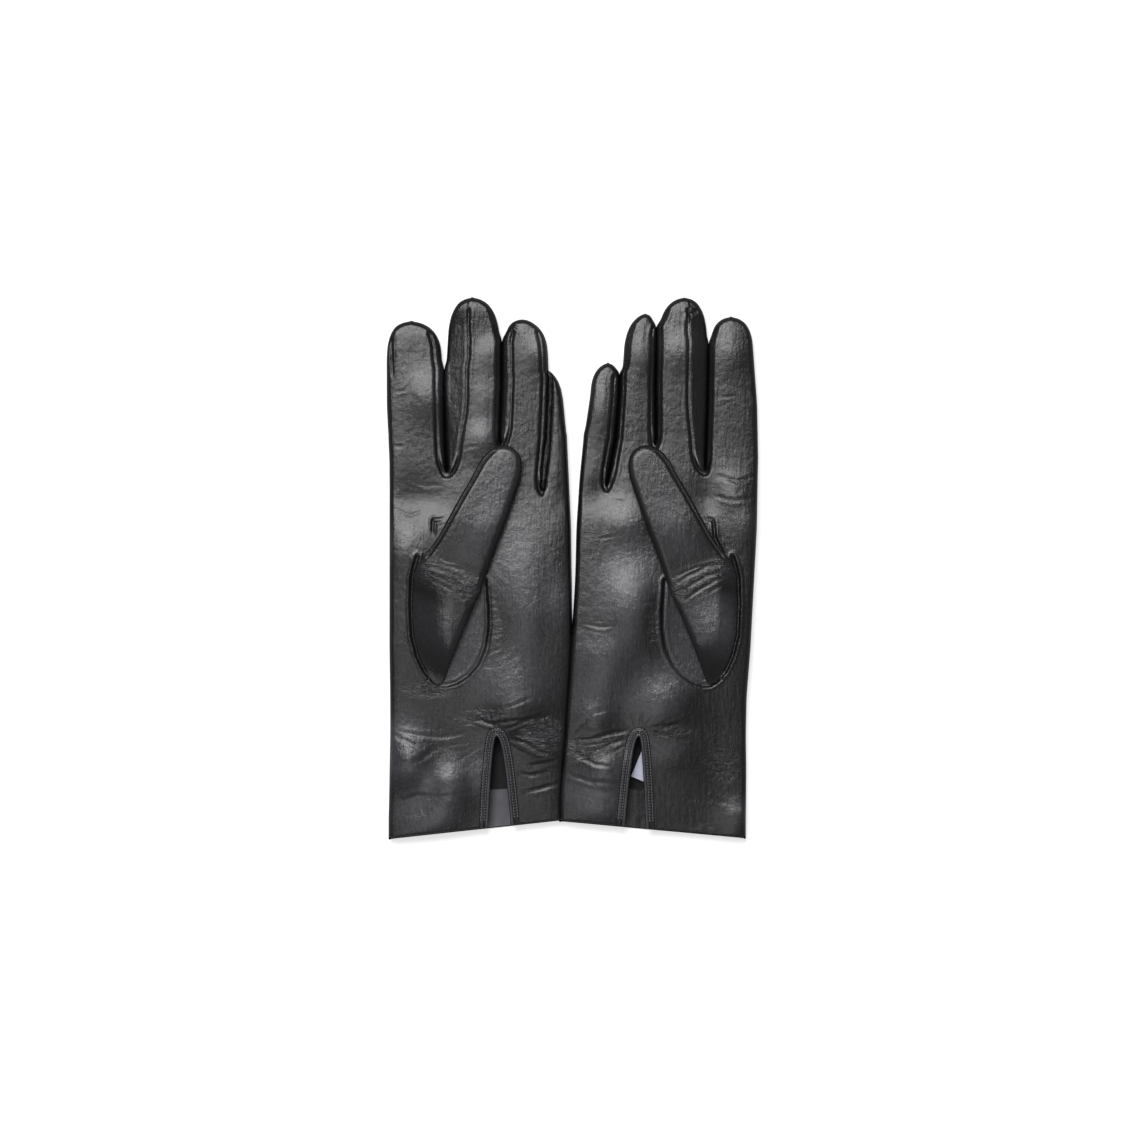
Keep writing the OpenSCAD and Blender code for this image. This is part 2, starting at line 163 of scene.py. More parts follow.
def rounded(ys, low, high, tip, reach):
    """The middle and half width of a finger along its length, its tip rounded off to nothing at the end."""
    middle, square = smoothed((low + high) / 2, reach), ((high - low) / 2) ** 2
    step = ys[1] - ys[0]
    beyond = np.arange(ys[-1] + step, tip, step)
    square = np.concatenate([square, square[-1] * (tip - beyond) / (tip - ys[-1])])
    padded = np.concatenate([np.full(reach, square[0]), square, -square[-2:-2 - reach:-1]])
    kernel = np.hanning(2 * reach + 3)[1:-1]
    square = np.convolve(padded, kernel / kernel.sum(), "valid")
    at = np.append(np.concatenate([ys, beyond]), tip)
    square = np.append(square, 0)

    def sides(y):
        m, w = np.interp(y, ys, middle), np.sqrt(np.maximum(np.interp(y, at, square), 0))
        return m - w, m + w
    return sides


# ---------------------------------------------------------------- small mathematics

def ramp(x, low, high):
    """0 below low, 1 above high, and smooth between."""
    t = np.clip((x - low) / (high - low), 0, 1)
    return t * t * (3 - 2 * t)


def pillow(d, radius, power=2.2):
    """The share of its full height that a skin reaches at a distance from its edge."""
    return np.sqrt(np.maximum(0, 1 - (1 - np.clip(d / radius, 0, 1)) ** power))


def distance(points, lines, reach=12.0):
    """The distance of each point to the nearest of some open lines in the plane, or reach if that is less."""
    a = np.concatenate([l[:-1] for l in lines])
    b = np.concatenate([l[1:] for l in lines])
    low, high = np.minimum(a[:, 1], b[:, 1]) - reach, np.maximum(a[:, 1], b[:, 1]) + reach
    order = np.argsort(points[:, 1], kind="stable")
    out = np.full(len(points), reach)
    for part in np.array_split(order, len(order) // 700 + 1):
        p = points[part]
        near = (low < p[-1, 1]) & (high > p[0, 1])
        if not near.any():
            continue
        s, ab = a[near], b[near] - a[near]
        px, py = p[:, :1] - s[:, 0], p[:, 1:] - s[:, 1]
        t = np.clip((px * ab[:, 0] + py * ab[:, 1]) / np.maximum((ab ** 2).sum(1), 1e-12), 0, 1)
        out[part] = np.minimum(reach, np.sqrt(((px - t * ab[:, 0]) ** 2 + (py - t * ab[:, 1]) ** 2).min(1)))
    return out


def shares(width, seams, fine=0.14, coarse=0.8):
    """Shares 0 to 1 of a width in millimetres, closest together at its two edges and at its seams."""
    t = np.linspace(0, 1, 4001)
    gap = np.minimum(coarse, fine + 0.33 * np.minimum(t, 1 - t) * width)
    for s in seams:
        gap = np.minimum(gap, 0.26 + 0.24 * abs(t - s) * width)
    count = np.concatenate([[0], np.cumsum(np.diff(t) * width / gap[1:])])
    return np.interp(np.linspace(0, count[-1], int(count[-1]) + 2), count, t)


def hills(x, y, bumps):
    """The sum of some smooth bumps: (x, y, reach along x, reach along y, height, turn in degrees)."""
    z = np.zeros_like(x)
    for cx, cy, rx, ry, h, turn in bumps:
        c, s = math.cos(math.radians(turn)), math.sin(math.radians(turn))
        u, v = (x - cx) * c + (y - cy) * s, (y - cy) * c - (x - cx) * s
        z += h * np.exp(-(u / rx) ** 2 - (v / ry) ** 2)
    return z


def creases(x, y, lines):
    """The sum of some pressed creases: (points, depth, width). Each fades at its ends."""
    z = np.zeros_like(x)
    for points, depth, width in lines:
        p = np.array(points, float)
        lo, hi = p.min(0) - 4 * width, p.max(0) + 4 * width
        near = (x > lo[0]) & (x < hi[0]) & (y > lo[1]) & (y < hi[1])
        if not near.any():
            continue
        q = np.stack([x[near], y[near]], 1)
        d = distance(q, [p])
        along = (q - p[0]) @ (p[-1] - p[0]) / ((p[-1] - p[0]) ** 2).sum()
        fade = np.sin(np.pi * np.clip(along, 0, 1)) ** 0.7
        lips = 0.45 * np.exp(-((d - 1.8 * width) / width) ** 2)
        z[near] += fade * depth * (lips - np.exp(-(d / width) ** 2))
    return z


# ---------------------------------------------------------------- meshes and materials

class Skin:
    """Sheets of leather laid out as grids, sewn into one surface where their corners meet."""

    def __init__(self):
        self.points, self.marks, self.quads, self.tags, self.count = [], [], [], [], 0

    def add(self, grid, tags, mark=None, flip=False):
        """Adds a grid of points. Its rows are tagged with the piece they belong to, and mark is its wrinkling
        and painted highlight.
        """
        rows, cols = grid.shape[:2]
        ids = np.arange(rows * cols).reshape(rows, cols) + self.count
        self.count += rows * cols
        corners = [ids[:-1, :-1], ids[:-1, 1:], ids[1:, 1:], ids[1:, :-1]]
        self.quads.append(np.stack(corners[::-1] if flip else corners, 2).reshape(-1, 4))
        self.tags.append(np.repeat(np.array(tags[:-1]), cols - 1))
        self.points.append(grid.reshape(-1, 3))
        self.marks.append(mark.reshape(-1) if mark is not None else np.zeros(rows * cols))

    def sewn(self):
        """The points, marks, quads and tags once corners that meet are one."""
        points = np.concatenate(self.points)
        _, first, back = np.unique(np.round(points * 500).astype(int), axis=0, return_index=True,
                                   return_inverse=True)
        back = back.ravel()
        return points[first], np.concatenate(self.marks)[first], back[np.concatenate(self.quads)], \
            np.concatenate(self.tags)

    def pieces(self, material):
        """One object for each tag, shaded as if the surface were still whole."""
        p, marks, quads, tags = self.sewn()
        across = np.cross(p[quads[:, 2]] - p[quads[:, 0]], p[quads[:, 3]] - p[quads[:, 1]])
        normals = np.zeros_like(p)
        for k in range(4):
            np.add.at(normals, quads[:, k], across)
        normals /= np.maximum(np.linalg.norm(normals, axis=1), 1e-12)[:, None]
        made = {}
        for tag in dict.fromkeys(tags.tolist()):
            mine = quads[tags == tag]
            used, new = np.unique(mine, return_inverse=True)
            faces = []
            for f in new.reshape(-1, 4).tolist():
                f = [v for n, v in enumerate(f) if v != f[n - 1]]
                if len(set(f)) == len(f) > 2:
                    faces.append(f)
            made[tag] = build(tag, p[used], faces, material, normals[used], marks[used])
        return made

    def piece(self, material):
        """The object of a skin that has one tag."""
        return list(self.pieces(material).values())[0]


def build(name, points, faces, material, normals=None, wrinkling_and_painted_sheen=None):
    """An object from points in millimetres and faces."""
    mesh = bpy.data.meshes.new(name)
    mesh.from_pydata((np.asarray(points) * MM).tolist(), [], faces)
    mesh.update()
    mesh.shade_smooth()
    if wrinkling_and_painted_sheen is not None:
        mesh.attributes.new("wrinkling_and_painted_sheen", "FLOAT", "POINT").data.foreach_set("value", wrinkling_and_painted_sheen.astype(np.float32))
    if normals is not None:
        mesh.normals_split_custom_set_from_vertices(normals.tolist())
    mesh.materials.append(material)
    obj = bpy.data.objects.new(name, mesh)
    bpy.context.scene.collection.objects.link(obj)
    return obj


def linear(hex_colour):
    """An sRGB hex colour as linear red, green and blue."""
    parts = [int(hex_colour[i:i + 2], 16) / 255 for i in (1, 3, 5)]
    return tuple(c / 12.92 if c <= 0.04045 else ((c + 0.055) / 1.055) ** 2.4 for c in parts)


def node(tree, kind, settings=None, **links):
    """Adds a node, sets its properties and plain inputs, and links the inputs that are given a socket."""
    made = tree.nodes.new(kind)
    for key, value in (settings or {}).items():
        setattr(made, key, value)
    for key, value in links.items():
        name = key.replace("_", " ")
        socket = made.inputs[int(key[1:])] if key[0] == "i" and key[1:].isdigit() else made.inputs[name]
        if isinstance(value, bpy.types.NodeSocket):
            tree.links.new(value, socket)
        else:
            socket.default_value = value
    return made


def new_material(name):
    """An empty node material and its tree."""
    material = bpy.data.materials.new(name)
    material.use_nodes = True
    material.node_tree.nodes.clear()
    return material, material.node_tree


def nappa(name, colour, shine=0.34, grain=1.0):
    """Glazed lambskin nappa: drum dyed, lightly plated, so a soft even sheen over a very fine pebbled grain,
    glossier where it has been stretched smooth and duller where it is loose and finely wrinkled. Both kinds
    of place also get a lighter base colour, which is a painted highlight, the smooth places most."""
    material, t = new_material(name)
    place = node(t, "ShaderNodeTexCoord").outputs["Object"]
    wrinkling_and_painted_sheen = node(t, "ShaderNodeAttribute", {"attribute_name": "wrinkling_and_painted_sheen"}).outputs["Fac"]
    # grain cells of about 0.75 mm, a little coarse so that they show, pores of about 0.2 mm, a breakup of the
    # painted highlight over 2.4 mm, slack unevenness over 3.3 mm, and cloudy variation over 8 to 20 mm
    cells = node(t, "ShaderNodeTexVoronoi", {"feature": "SMOOTH_F1"}, Vector=place, Scale=1300.0,
                 Smoothness=0.6)
    pores = node(t, "ShaderNodeTexNoise", None, Vector=place, Scale=4200.0, Detail=3.0, Roughness=0.6)
    clouds = node(t, "ShaderNodeTexNoise", None, Vector=place, Scale=52.0, Detail=5.0, Roughness=0.6)
    painted_highlight_breakup = node(t, "ShaderNodeTexNoise", None, Vector=place, Scale=420.0, Detail=4.0, Roughness=0.7)
    mottle = node(t, "ShaderNodeTexNoise", None, Vector=place, Scale=300.0, Detail=3.0, Roughness=0.55)
    # stretch lines along the hand, about 1 mm apart, and wrinkles about 2 mm apart across it
    stretch_place = node(t, "ShaderNodeMapping", None, Vector=place, Scale=(900.0, 130.0, 400.0))
    stretch = node(t, "ShaderNodeTexNoise", None, Vector=stretch_place.outputs[0], Scale=1.0, Detail=5.0,
                   Roughness=0.6)
    wrinkle_place = node(t, "ShaderNodeMapping", None, Vector=place, Scale=(150.0, 470.0, 300.0),
                         Rotation=(0, 0, 0.25))
    wrinkles = node(t, "ShaderNodeTexNoise", None, Vector=wrinkle_place.outputs[0], Scale=1.0, Detail=3.0,
                    Roughness=0.5, Distortion=0.9)
    ridges = node(t, "ShaderNodeMath", {"operation": "ABSOLUTE"}, i0=node(
        t, "ShaderNodeMath", {"operation": "SUBTRACT"}, i0=wrinkles.outputs["Fac"], i1=0.5).outputs[0])
    # wrinkled places: the wrinkle bump, and a somewhat lighter base colour that is a painted highlight
    wrinkled_and_painted_highlight = node(t, "ShaderNodeMapRange", None, Value=wrinkling_and_painted_sheen, From_Min=0.12, From_Max=1.0)
    # smooth places: glossier, and a much lighter base colour that is a painted highlight
    gloss_and_painted_highlight = node(t, "ShaderNodeMapRange", None, Value=wrinkling_and_painted_sheen, From_Min=0.0, From_Max=-1.0)
    folded = node(t, "ShaderNodeMath", {"operation": "MULTIPLY"}, i0=ridges.outputs[0], i1=wrinkled_and_painted_highlight.outputs[0])
    height = node(t, "ShaderNodeMath", {"operation": "MULTIPLY_ADD"}, i0=cells.outputs["Distance"], i1=0.5,
                  i2=pores.outputs["Fac"])
    bump = node(t, "ShaderNodeBump", None, Height=height.outputs[0], Strength=0.22 * grain, Distance=0.0003)
    pulled = node(t, "ShaderNodeBump", None, Height=stretch.outputs["Fac"], Normal=bump.outputs[0],
                  Strength=0.3, Distance=0.0006)
    uneven_skin = node(t, "ShaderNodeBump", None, Height=mottle.outputs["Fac"], Normal=pulled.outputs[0],
                       Strength=0.5, Distance=0.0005)
    creased = node(t, "ShaderNodeBump", None, Height=folded.outputs[0], Normal=uneven_skin.outputs[0],
                   Strength=0.8, Distance=-0.0042)
    base = linear(colour)
    tone = node(t, "ShaderNodeMix", {"data_type": "RGBA"}, i0=clouds.outputs["Fac"],
                i6=(*[c * 0.6 for c in base], 1), i7=(*[c * 1.4 for c in base], 1))
    # the painted highlight: how far the base colour is mixed towards sixteen times its own, broken up by
    # noise
    painted_highlight_amount = node(t, "ShaderNodeMath", {"operation": "MULTIPLY_ADD"}, i0=wrinkled_and_painted_highlight.outputs[0], i1=0.4,
                i2=gloss_and_painted_highlight.outputs[0])
    broken_painted_highlight = node(t, "ShaderNodeMath", {"operation": "MULTIPLY"}, i0=painted_highlight_amount.outputs[0],
                     i1=painted_highlight_breakup.outputs["Fac"])
    bright = node(t, "ShaderNodeMix", {"data_type": "RGBA"}, i0=broken_painted_highlight.outputs[0], i6=tone.outputs[2],
                  i7=(*[c * 16.0 for c in base], 1))
    uneven = node(t, "ShaderNodeMath", {"operation": "MULTIPLY_ADD"}, i0=clouds.outputs["Fac"], i1=-0.22,
                  i2=shine + 0.11)
    gloss = node(t, "ShaderNodeMath", {"operation": "MULTIPLY_ADD"}, i0=gloss_and_painted_highlight.outputs[0], i1=-0.07,
                 i2=uneven.outputs[0])
    shader = node(t, "ShaderNodeBsdfPrincipled", None, Base_Color=bright.outputs[2],
                  Roughness=gloss.outputs[0], Normal=creased.outputs[0], IOR=1.5, Coat_Weight=0.15,
                  Coat_Roughness=0.2)
    node(t, "ShaderNodeOutputMaterial", None, Surface=shader.outputs[0])
    return material


# The scale of a wave texture whose threads, two to a wave, lie a metre apart.
WAVE = 0.159


def cloth(name, colour, rough, pitch, sheen):
    """Plain woven silk or satin ribbon: threads of the given pitch crossing, with a low sheen along them."""
    material, t = new_material(name)
    place = node(t, "ShaderNodeTexCoord").outputs["Object"]
    warp, weft = [node(t, "ShaderNodeTexWave", {"bands_direction": way}, Vector=place, Scale=WAVE / pitch,
                       Distortion=0.4) for way in "XY"]
    both = node(t, "ShaderNodeMath", {"operation": "MULTIPLY"}, i0=warp.outputs["Fac"],
                i1=weft.outputs["Fac"])
    bump = node(t, "ShaderNodeBump", None, Height=both.outputs[0], Strength=0.3, Distance=0.0002)
    base = linear(colour)
    tone = node(t, "ShaderNodeMix", {"data_type": "RGBA"}, i0=both.outputs[0],
                i6=(*[c * 0.8 for c in base], 1), i7=(*[min(1, c * 1.15) for c in base], 1))
    shader = node(t, "ShaderNodeBsdfPrincipled", None, Base_Color=tone.outputs[2], Roughness=rough,
                  Normal=bump.outputs[0], Sheen_Weight=sheen, Sheen_Roughness=0.4, Specular_IOR_Level=0.3)
    node(t, "ShaderNodeOutputMaterial", None, Surface=shader.outputs[0])
    return material


def thread(name, colour):
    """Twisted silk sewing thread: two plies, satin along the twist."""
    material, t = new_material(name)
    place = node(t, "ShaderNodeTexCoord").outputs["Object"]
    twist = node(t, "ShaderNodeTexWave", {"bands_direction": "DIAGONAL"}, Vector=place, Scale=900.0,
                 Distortion=1.0)
    bump = node(t, "ShaderNodeBump", None, Height=twist.outputs["Fac"], Strength=0.4, Distance=0.0001)
    shader = node(t, "ShaderNodeBsdfPrincipled", None, Base_Color=(*linear(colour), 1), Roughness=0.3,
                  Normal=bump.outputs[0], Sheen_Weight=0.1)
    node(t, "ShaderNodeOutputMaterial", None, Surface=shader.outputs[0])
    return material


def material(name):
    """A finish by its name, made the first time it is asked for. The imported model's own materials come
    with the frame, so no finish here has a name of theirs."""
    if name not in bpy.data.materials:
        look = bpy.context.scene.glove_look
        colour = "#%02x%02x%02x" % tuple(round(255 * c) for c in look.leather)
        {
            "nappa": lambda: nappa("nappa", colour, look.shine, look.grain),
            "nappa_facing": lambda: nappa("nappa_facing", "#5a5a60", look.shine + 0.12, look.grain),
            "lining_silk": lambda: cloth("lining_silk", "#0c0c0e", 0.6, 0.00045, 0.01),
            "satin_ribbon": lambda: cloth("satin_ribbon", "#e2e6ff", 0.45, 0.0003, 0.35),
            "sewing_silk": lambda: thread("sewing_silk", "#77777c"),
        }[name]()
    return bpy.data.materials[name]


# ---------------------------------------------------------------- the shape of a hand

class Hand:
    """The plan and the heights of one glove, read from its CAD nodes."""

    def __init__(self, side):
        self.side, data = side, HANDS[side]
        self.order, self.forks, self.vent = data["order"], data["forks"], data["vent"]
        self.slant, self.seam_shares = data["slant"], data["seams"]
        fingers = {f: [n for n in frame["nodes"] if n.startswith(f"{side}_{f}_") and "lining" not in n]
                   for f in self.order}
        every = [n for ns in fingers.values() for n in ns] + [f"{side}_trank"]
        self.hinge = [joint(f"{side}_{f}_curl")["pos_m"][1] / MM for f in self.order]
        self.rows = self.stations(CUFF_Y, TOP_Y, 0.85, [f[1] for f in self.forks] + self.hinge
                                  + [self.vent[0][1]])
        ys = np.arange(-113.8, 62, 2.5)
        cut = slices(every, ys)
        self.fine = fine = np.arange(CUFF_Y, 61, 0.5)
        self.low = smoothed(np.interp(fine, ys, cut[:, 0]), 9)
        self.high = smoothed(np.interp(fine, ys, cut[:, 1]), 9)
        self.tall = smoothed(np.interp(fine, ys, cut[:, 2]), 12)
        # the two gloves lean on each other, most of all at their cuffs
        lean = np.interp(fine, [-121, -105, -91, -61, -38, -14, 0], [1.9, 1.5, 1.3, 1.15, 1.0, 0.4, 0.2])
        if side == "left":
            self.high = self.high + lean
        else:
            self.low = self.low - lean

        self.fingers = []
        for i, f in enumerate(self.order):
            tip = max(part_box(n)[1].y for n in fingers[f]) / MM
            fy = np.arange(TOP_Y + 0.35, tip - 0.7, 0.5)
            c = slices(fingers[f], fy)
            self.fingers.append({"tip": tip, "sides": rounded(fy, c[:, 0], c[:, 1], tip, 8)})
        self.crotch_lines()
        self.make_strips()

    @staticmethod
    def stations(start, end, step, fixed):
        """Stations at about a step apart, moved so that some of them fall on the fixed values."""
        ys = np.linspace(start, end, int((end - start) / step) + 1)
        for f in fixed:
            if start < f < end:
                ys[np.abs(ys - f).argmin()] = f
        return np.unique(ys)

    def crotch_lines(self):
        """The middle line and the half width of the gap beside each fork, from the fork to TOP_Y."""
        self.gaps = []
        for g, (x, y) in enumerate(self.forks):
            a, b = self.fingers[g]["sides"](TOP_Y)[1], self.fingers[g + 1]["sides"](TOP_Y)[0]
            self.gaps.append({"x": x, "y": y, "top": (a + b) / 2, "half": max(0.12, (b - a) / 2)})

    def edge(self, g, y, side):
        """x of the boundary between strips g and g + 1 at y: side -1 is the lower strip's, 1 the higher's."""
        gap = self.gaps[g]
        up = np.clip((y - gap["y"]) / (TOP_Y - gap["y"]), 0, 1)
        above = gap["x"] + (gap["top"] - gap["x"]) * up + side * gap["half"] * np.sqrt(up)
        foot = {0: np.interp(CUFF_Y, self.fine, self.low) * 0.70 + self.vent[1] * 0.30,
                2: np.interp(CUFF_Y, self.fine, self.high) * 0.70 + self.vent[2] * 0.30}
        if g == 1:
            (ax, ay), x0, x1 = self.vent
            down = np.clip((ay - y) / (ay - CUFF_Y), 0, 1)
            slit = ax + ((x0 if side < 0 else x1) - ax) * np.sqrt(down)
            t = np.clip((y - ay) / (gap["y"] - ay), 0, 1)
            below = np.where(y < ay, slit, ax + (gap["x"] - ax) * t)
        else:
            t = np.clip((y - CUFF_Y) / (gap["y"] - CUFF_Y), 0, 1)
            below = foot[g] + (gap["x"] - foot[g]) * t
        return np.where(y > gap["y"], above, below)

    def make_strips(self):
        """For each finger: stations from cuff to tip, both boundaries, and which rows are open edges."""
        self.strips = []
        for i, f in enumerate(self.fingers):
            base = self.rows
            low = np.interp(base, self.fine, self.low) if i == 0 else self.edge(i - 1, base, 1)
            high = np.interp(base, self.fine, self.high) if i == 3 else self.edge(i, base, -1)
            tip = f["tip"]
            ys = np.concatenate([np.arange(TOP_Y + 0.8, tip - 6, 0.8), tip - 5.4 * (1 - np.sin(np.linspace(
                0, np.pi / 2, 16)))])
            lo, hi = f["sides"](ys)
            join = ramp(ys, TOP_Y, TOP_Y + 6)
            lo = lo * join + (lo + low[-1] - lo[0]) * (1 - join)
            hi = hi * join + (hi + high[-1] - hi[0]) * (1 - join)
            y = np.concatenate([base, ys])
            strip = {"y": y, "low": np.concatenate([low, lo]), "high": np.concatenate([high, hi]), "tip": tip,
                     "open_low": y >= (-999 if i == 0 else self.gaps[i - 1]["y"] - 1e-6),
                     "open_high": y >= (-999 if i == 3 else self.gaps[i]["y"] - 1e-6)}
            self.strips.append(strip)
        self.press_together()
        self.outline, self.tight = [], []
        for i, s in enumerate(self.strips):
            for key in ("low", "high"):
                rows = s["open_" + key]
                line = np.stack([s[key][rows], s["y"][rows]], 1)
                tucked = (self.side, i, key) in TUCKED
                (self.tight if tucked else self.outline).append(line)
        self.seam_lines()

    def press_together(self):
        """Lets neighbouring fingers lie against each other, as the slack leather of a flat glove does."""
        for g, (start, end) in enumerate(HANDS[self.side]["touch"]):
            lower, upper = self.strips[g], self.strips[g + 1]
            pushed = []
            for s, key, other, other_key in ((lower, "high", upper, "low"), (upper, "low", lower, "high")):
                half = abs(np.interp(s["y"], other["y"], other[other_key]) - s[key]) / 2
                push = (1 - ramp(s["y"], start, end)) * np.clip(half + 0.04, 0, 1.3) * s["open_" + key]
                pushed.append(s[key] + (push if key == "high" else -push))
            lower["high"], upper["low"] = pushed
            if (self.side, g + 1, "low") in TUCKED:
                y = upper["y"]
                high = np.interp(y, lower["y"], lower["high"])
                upper["low"] = np.where(y > self.gaps[g]["y"] + 0.01, high - 0.04, upper["low"])
                above = y > TOP_Y
                side = np.interp(y, *np.array(LITTLE_SIDE).T)
                blend = ramp(y, TOP_Y, TOP_Y + 5)
                upper["high"] = np.where(above, upper["high"] * (1 - blend) + side * blend, upper["high"])
                upper["high"] = np.maximum(upper["high"], upper["low"])

    def seam_x(self, i, which, y):
        """x of a finger's seam on its palm side at y. It swings in to the fork at its foot."""
        s = self.strips[i]
        share = self.seam_shares[i][which]
        if share is None:
            return None
        low, high = np.interp(y, s["y"], s["low"]), np.interp(y, s["y"], s["high"])
        width = high - low
        off = width * (share if which == 0 else 1 - share)
        gap = self.gaps[i - 1 if which == 0 else i]
        full = np.interp(gap["y"] + 35, s["y"], s["high"] - s["low"]) * (share if which == 0 else 1 - share)
        keep = min(1, 6.2 / full)
        off = off * (keep + (1 - keep) * ramp(y, gap["y"], gap["y"] + 34))
        t = np.clip((y - gap["y"] + 2.6) / 11, 0, 1)
        off = off * np.sqrt(1 - (1 - t) ** 2)
        return low + off if which == 0 else high - off

    def seam_lines(self):
        """The line of each seam on the palm side, from a fingertip down round the fork to the next one."""
        self.seams = []
        for g, gap in enumerate(self.gaps):
            ends = []
            for i, which in ((g, 1), (g + 1, 0)):
                if self.seam_shares[i][which] is None:
                    continue
                tip = self.strips[i]["tip"] - 6.4
                ys = np.concatenate([gap["y"] - 2.6 + 3 * np.linspace(0, 1, 12) ** 2,
                                     np.arange(gap["y"] + 1, tip, 1.0)])
                ends.append(np.stack([self.seam_x(i, which, ys), ys], 1))
            self.seams.append(np.concatenate([ends[0][::-1], *ends[1:]]))

    def slanted(self, x, y):
        """y moved along with the slanted mouth of the cuff."""
        lo, hi = np.interp(y, self.fine, self.low), np.interp(y, self.fine, self.high)
        fade = np.clip((self.vent[0][1] - y) / (self.vent[0][1] - CUFF_Y), 0, 1)
        return y + (self.slant[0] + (self.slant[1] - self.slant[0]) * (x - lo) / (hi - lo)) * fade

    def full_height(self, y):
        """Height of the glove along its middle, which eases from the palm's into a finger's."""
        return np.interp(y, self.fine, self.tall) * (1 - ramp(y, 10, 80)) + FINGER_HEIGHT * ramp(y, 10, 80)

    def waist(self, x, y):
        """Where the glove's edge is widest, as a share of its height. One inner edge lies on the other."""
        if self.side == "left":
            edge = np.interp(y, self.fine, self.high)
            return 0.46 - 0.11 * ramp(x, edge - 12, edge)
        edge = np.interp(y, self.fine, self.low)
        return 0.46 + 0.11 * (1 - ramp(x, edge, edge + 12))

    def surface(self, x, y, top=True, relief=True):
        """z of the palm side or of the back at x, y, before the cuff is slanted."""
        p = np.stack([x, y], 1)
        d = distance(p, self.outline)
        if self.tight:
            d = np.minimum(d, 3 * distance(p, self.tight, 4))
        tall = self.full_height(y)
        mid = tall * self.waist(x, y)
        if not top:
            z = mid * (1 - 0.8 * pillow(d, 3.6) - 0.2 * pillow(d, 9))
            return z + (self.back_relief(x, y, d) if relief else 0), d
        z = mid + (tall - mid) * (0.80 * pillow(d, 2.3) + 0.20 * pillow(d, 11))
        if relief:
            z = z + self.relief(x, y, d) * pillow(d, 2.4)
        return z, d

    def inner(self, x, y, top, inset, drop):
        """z of the inner face of the palm side or of the back, set in from the leather's outside."""
        tall = self.full_height(y)
        mid = tall * self.waist(x, y)
        lo, hi = np.interp(y, self.fine, self.low) + inset, np.interp(y, self.fine, self.high) - inset
        round_off = pillow(np.maximum(np.minimum(x - lo, hi - x), 0), 2.6)
        return mid + (tall - drop - mid) * round_off if top else mid - (mid - inset) * round_off

    def back_relief(self, x, y, d):
        """Slight hollows under the back, which never reach below the table."""
        u = x if self.side == "left" else -x
        return ramp(d, 2, 9) * (0.25 + 0.25 * np.sin(u * 0.11 + 1.3) * np.sin(y * 0.07))

    def relief(self, x, y, d):
        """The palm side's soft hollows, creases and wrinkles, and its seams."""
        z = swells(x, y, self.side) + creases(x, y, PALM_CREASES[self.side])
        (ax, ay), x0, x1 = self.vent
        for angle, length, depth in VENT_FOLDS:
            c, s = math.cos(math.radians(angle)), math.sin(math.radians(angle))
            start = 4.4 + 1.0 * abs(c)
            line = [(ax + c * r, ay + s * r + 0.004 * r * r * (1 if s < 0.4 else -1)) for r in
                    np.linspace(start, length, 8)]
            z = z + creases(x, y, [(line, 0.7 * depth, 0.5)])
        z = z + creases(x, y, EXTRA_SEAMS[self.side])
        q = np.stack([x, y], 1)
        near = y > 25
        gap = np.full(len(x), 99.0)
        gap[near] = distance(q[near], self.seams)
        groove = bpy.context.scene.glove_look.seam_depth / MM
        z = z - groove * np.exp(-(gap / 0.7) ** 2) + 0.10 * np.exp(-((gap - 1.7) / 0.7) ** 2)
        a, b = self.to_thumb(x, y)
        patch = in_patch(a, b)
        rim = distance(np.stack([a, b], 1), [np.array(OVAL, float)])
        z = z - 0.7 * patch * ramp(rim, 0, 2.5) - 1.1 * np.exp(-(rim / 0.75) ** 2)
        z = z + 0.42 * np.exp(-((rim - 1.6) / 0.65) ** 2) * (1 - patch)
        return z

    def thumb_crease(self):
        """The place and the direction of the thumb's crease, and 1 or -1 for the hand it is on."""
        crease = joint(f"{self.side}_thumb_spread")
        px, py = crease["pos_m"][0] / MM, crease["pos_m"][1] / MM
        return px, py, abs(crease["axis"][0]), abs(crease["axis"][1]), 1 if self.side == "left" else -1

    def to_thumb(self, x, y):
        """A point in the thumb's frame: along the thumb from its crease, and across it."""
        px, py, c, s, flip = self.thumb_crease()
        dx, dy = (x - px) * flip, y - py
        return dx * s + dy * c, dx * c - dy * s

    def from_thumb(self, a, b):
        """The place in the plan of a point in the thumb's frame."""
        px, py, c, s, flip = self.thumb_crease()
        return px + flip * (a * s + b * c), py + a * c - b * s

    def wrinkling_and_painted_sheen(self, x, y):
        """Above 0 where the leather is finely wrinkled, below 0 where it is stretched smooth and glossier.
        Both lighten the base colour as a painted highlight, the smooth places most; the thumb's gusset patch
        is drawn lighter and counts as a little wrinkled.
        """
        wrinkled_and_painted_highlight = np.clip(hills(x, y, WRINKLES_AND_PAINTED_HIGHLIGHTS[self.side]), 0, 1)
        gloss_and_painted_highlight = hills(x, y, SWELLS_AND_PAINTED_HIGHLIGHTS[self.side])
        a, b = self.to_thumb(x, y)
        patch = 0.9 * in_patch(a, b)
        return np.maximum(wrinkled_and_painted_highlight, 0.4 * patch) - np.clip(gloss_and_painted_highlight + patch, 0, 1) * (1 - wrinkled_and_painted_highlight)


# The oval seam round the thumb's root, in the thumb's frame: along, across. It starts under the thumb on the
# inner side, goes round the foot and comes back along the root's own edge.
OVAL = [(6.0, 15.0), (1.0, 17.4), (-6.0, 21.0), (-14.0, 24.4), (-23.0, 26.6), (-31.0, 26.6),
        (-37.5, 24.6), (-42.5, 21.2), (-45.6, 17.4), (-46.6, 14.6), (-46.2, 11.6), (-43.4, 5.6),
        (-38.2, -0.2), (-30.0, -6.2), (-17.0, -12.3), (-6.0, -16.5), (0.0, -17.6), (4.0, -18.0)]

# A finger's side that is tucked against its neighbour, so it hardly rounds over.
TUCKED = {("left", 3, "low")}

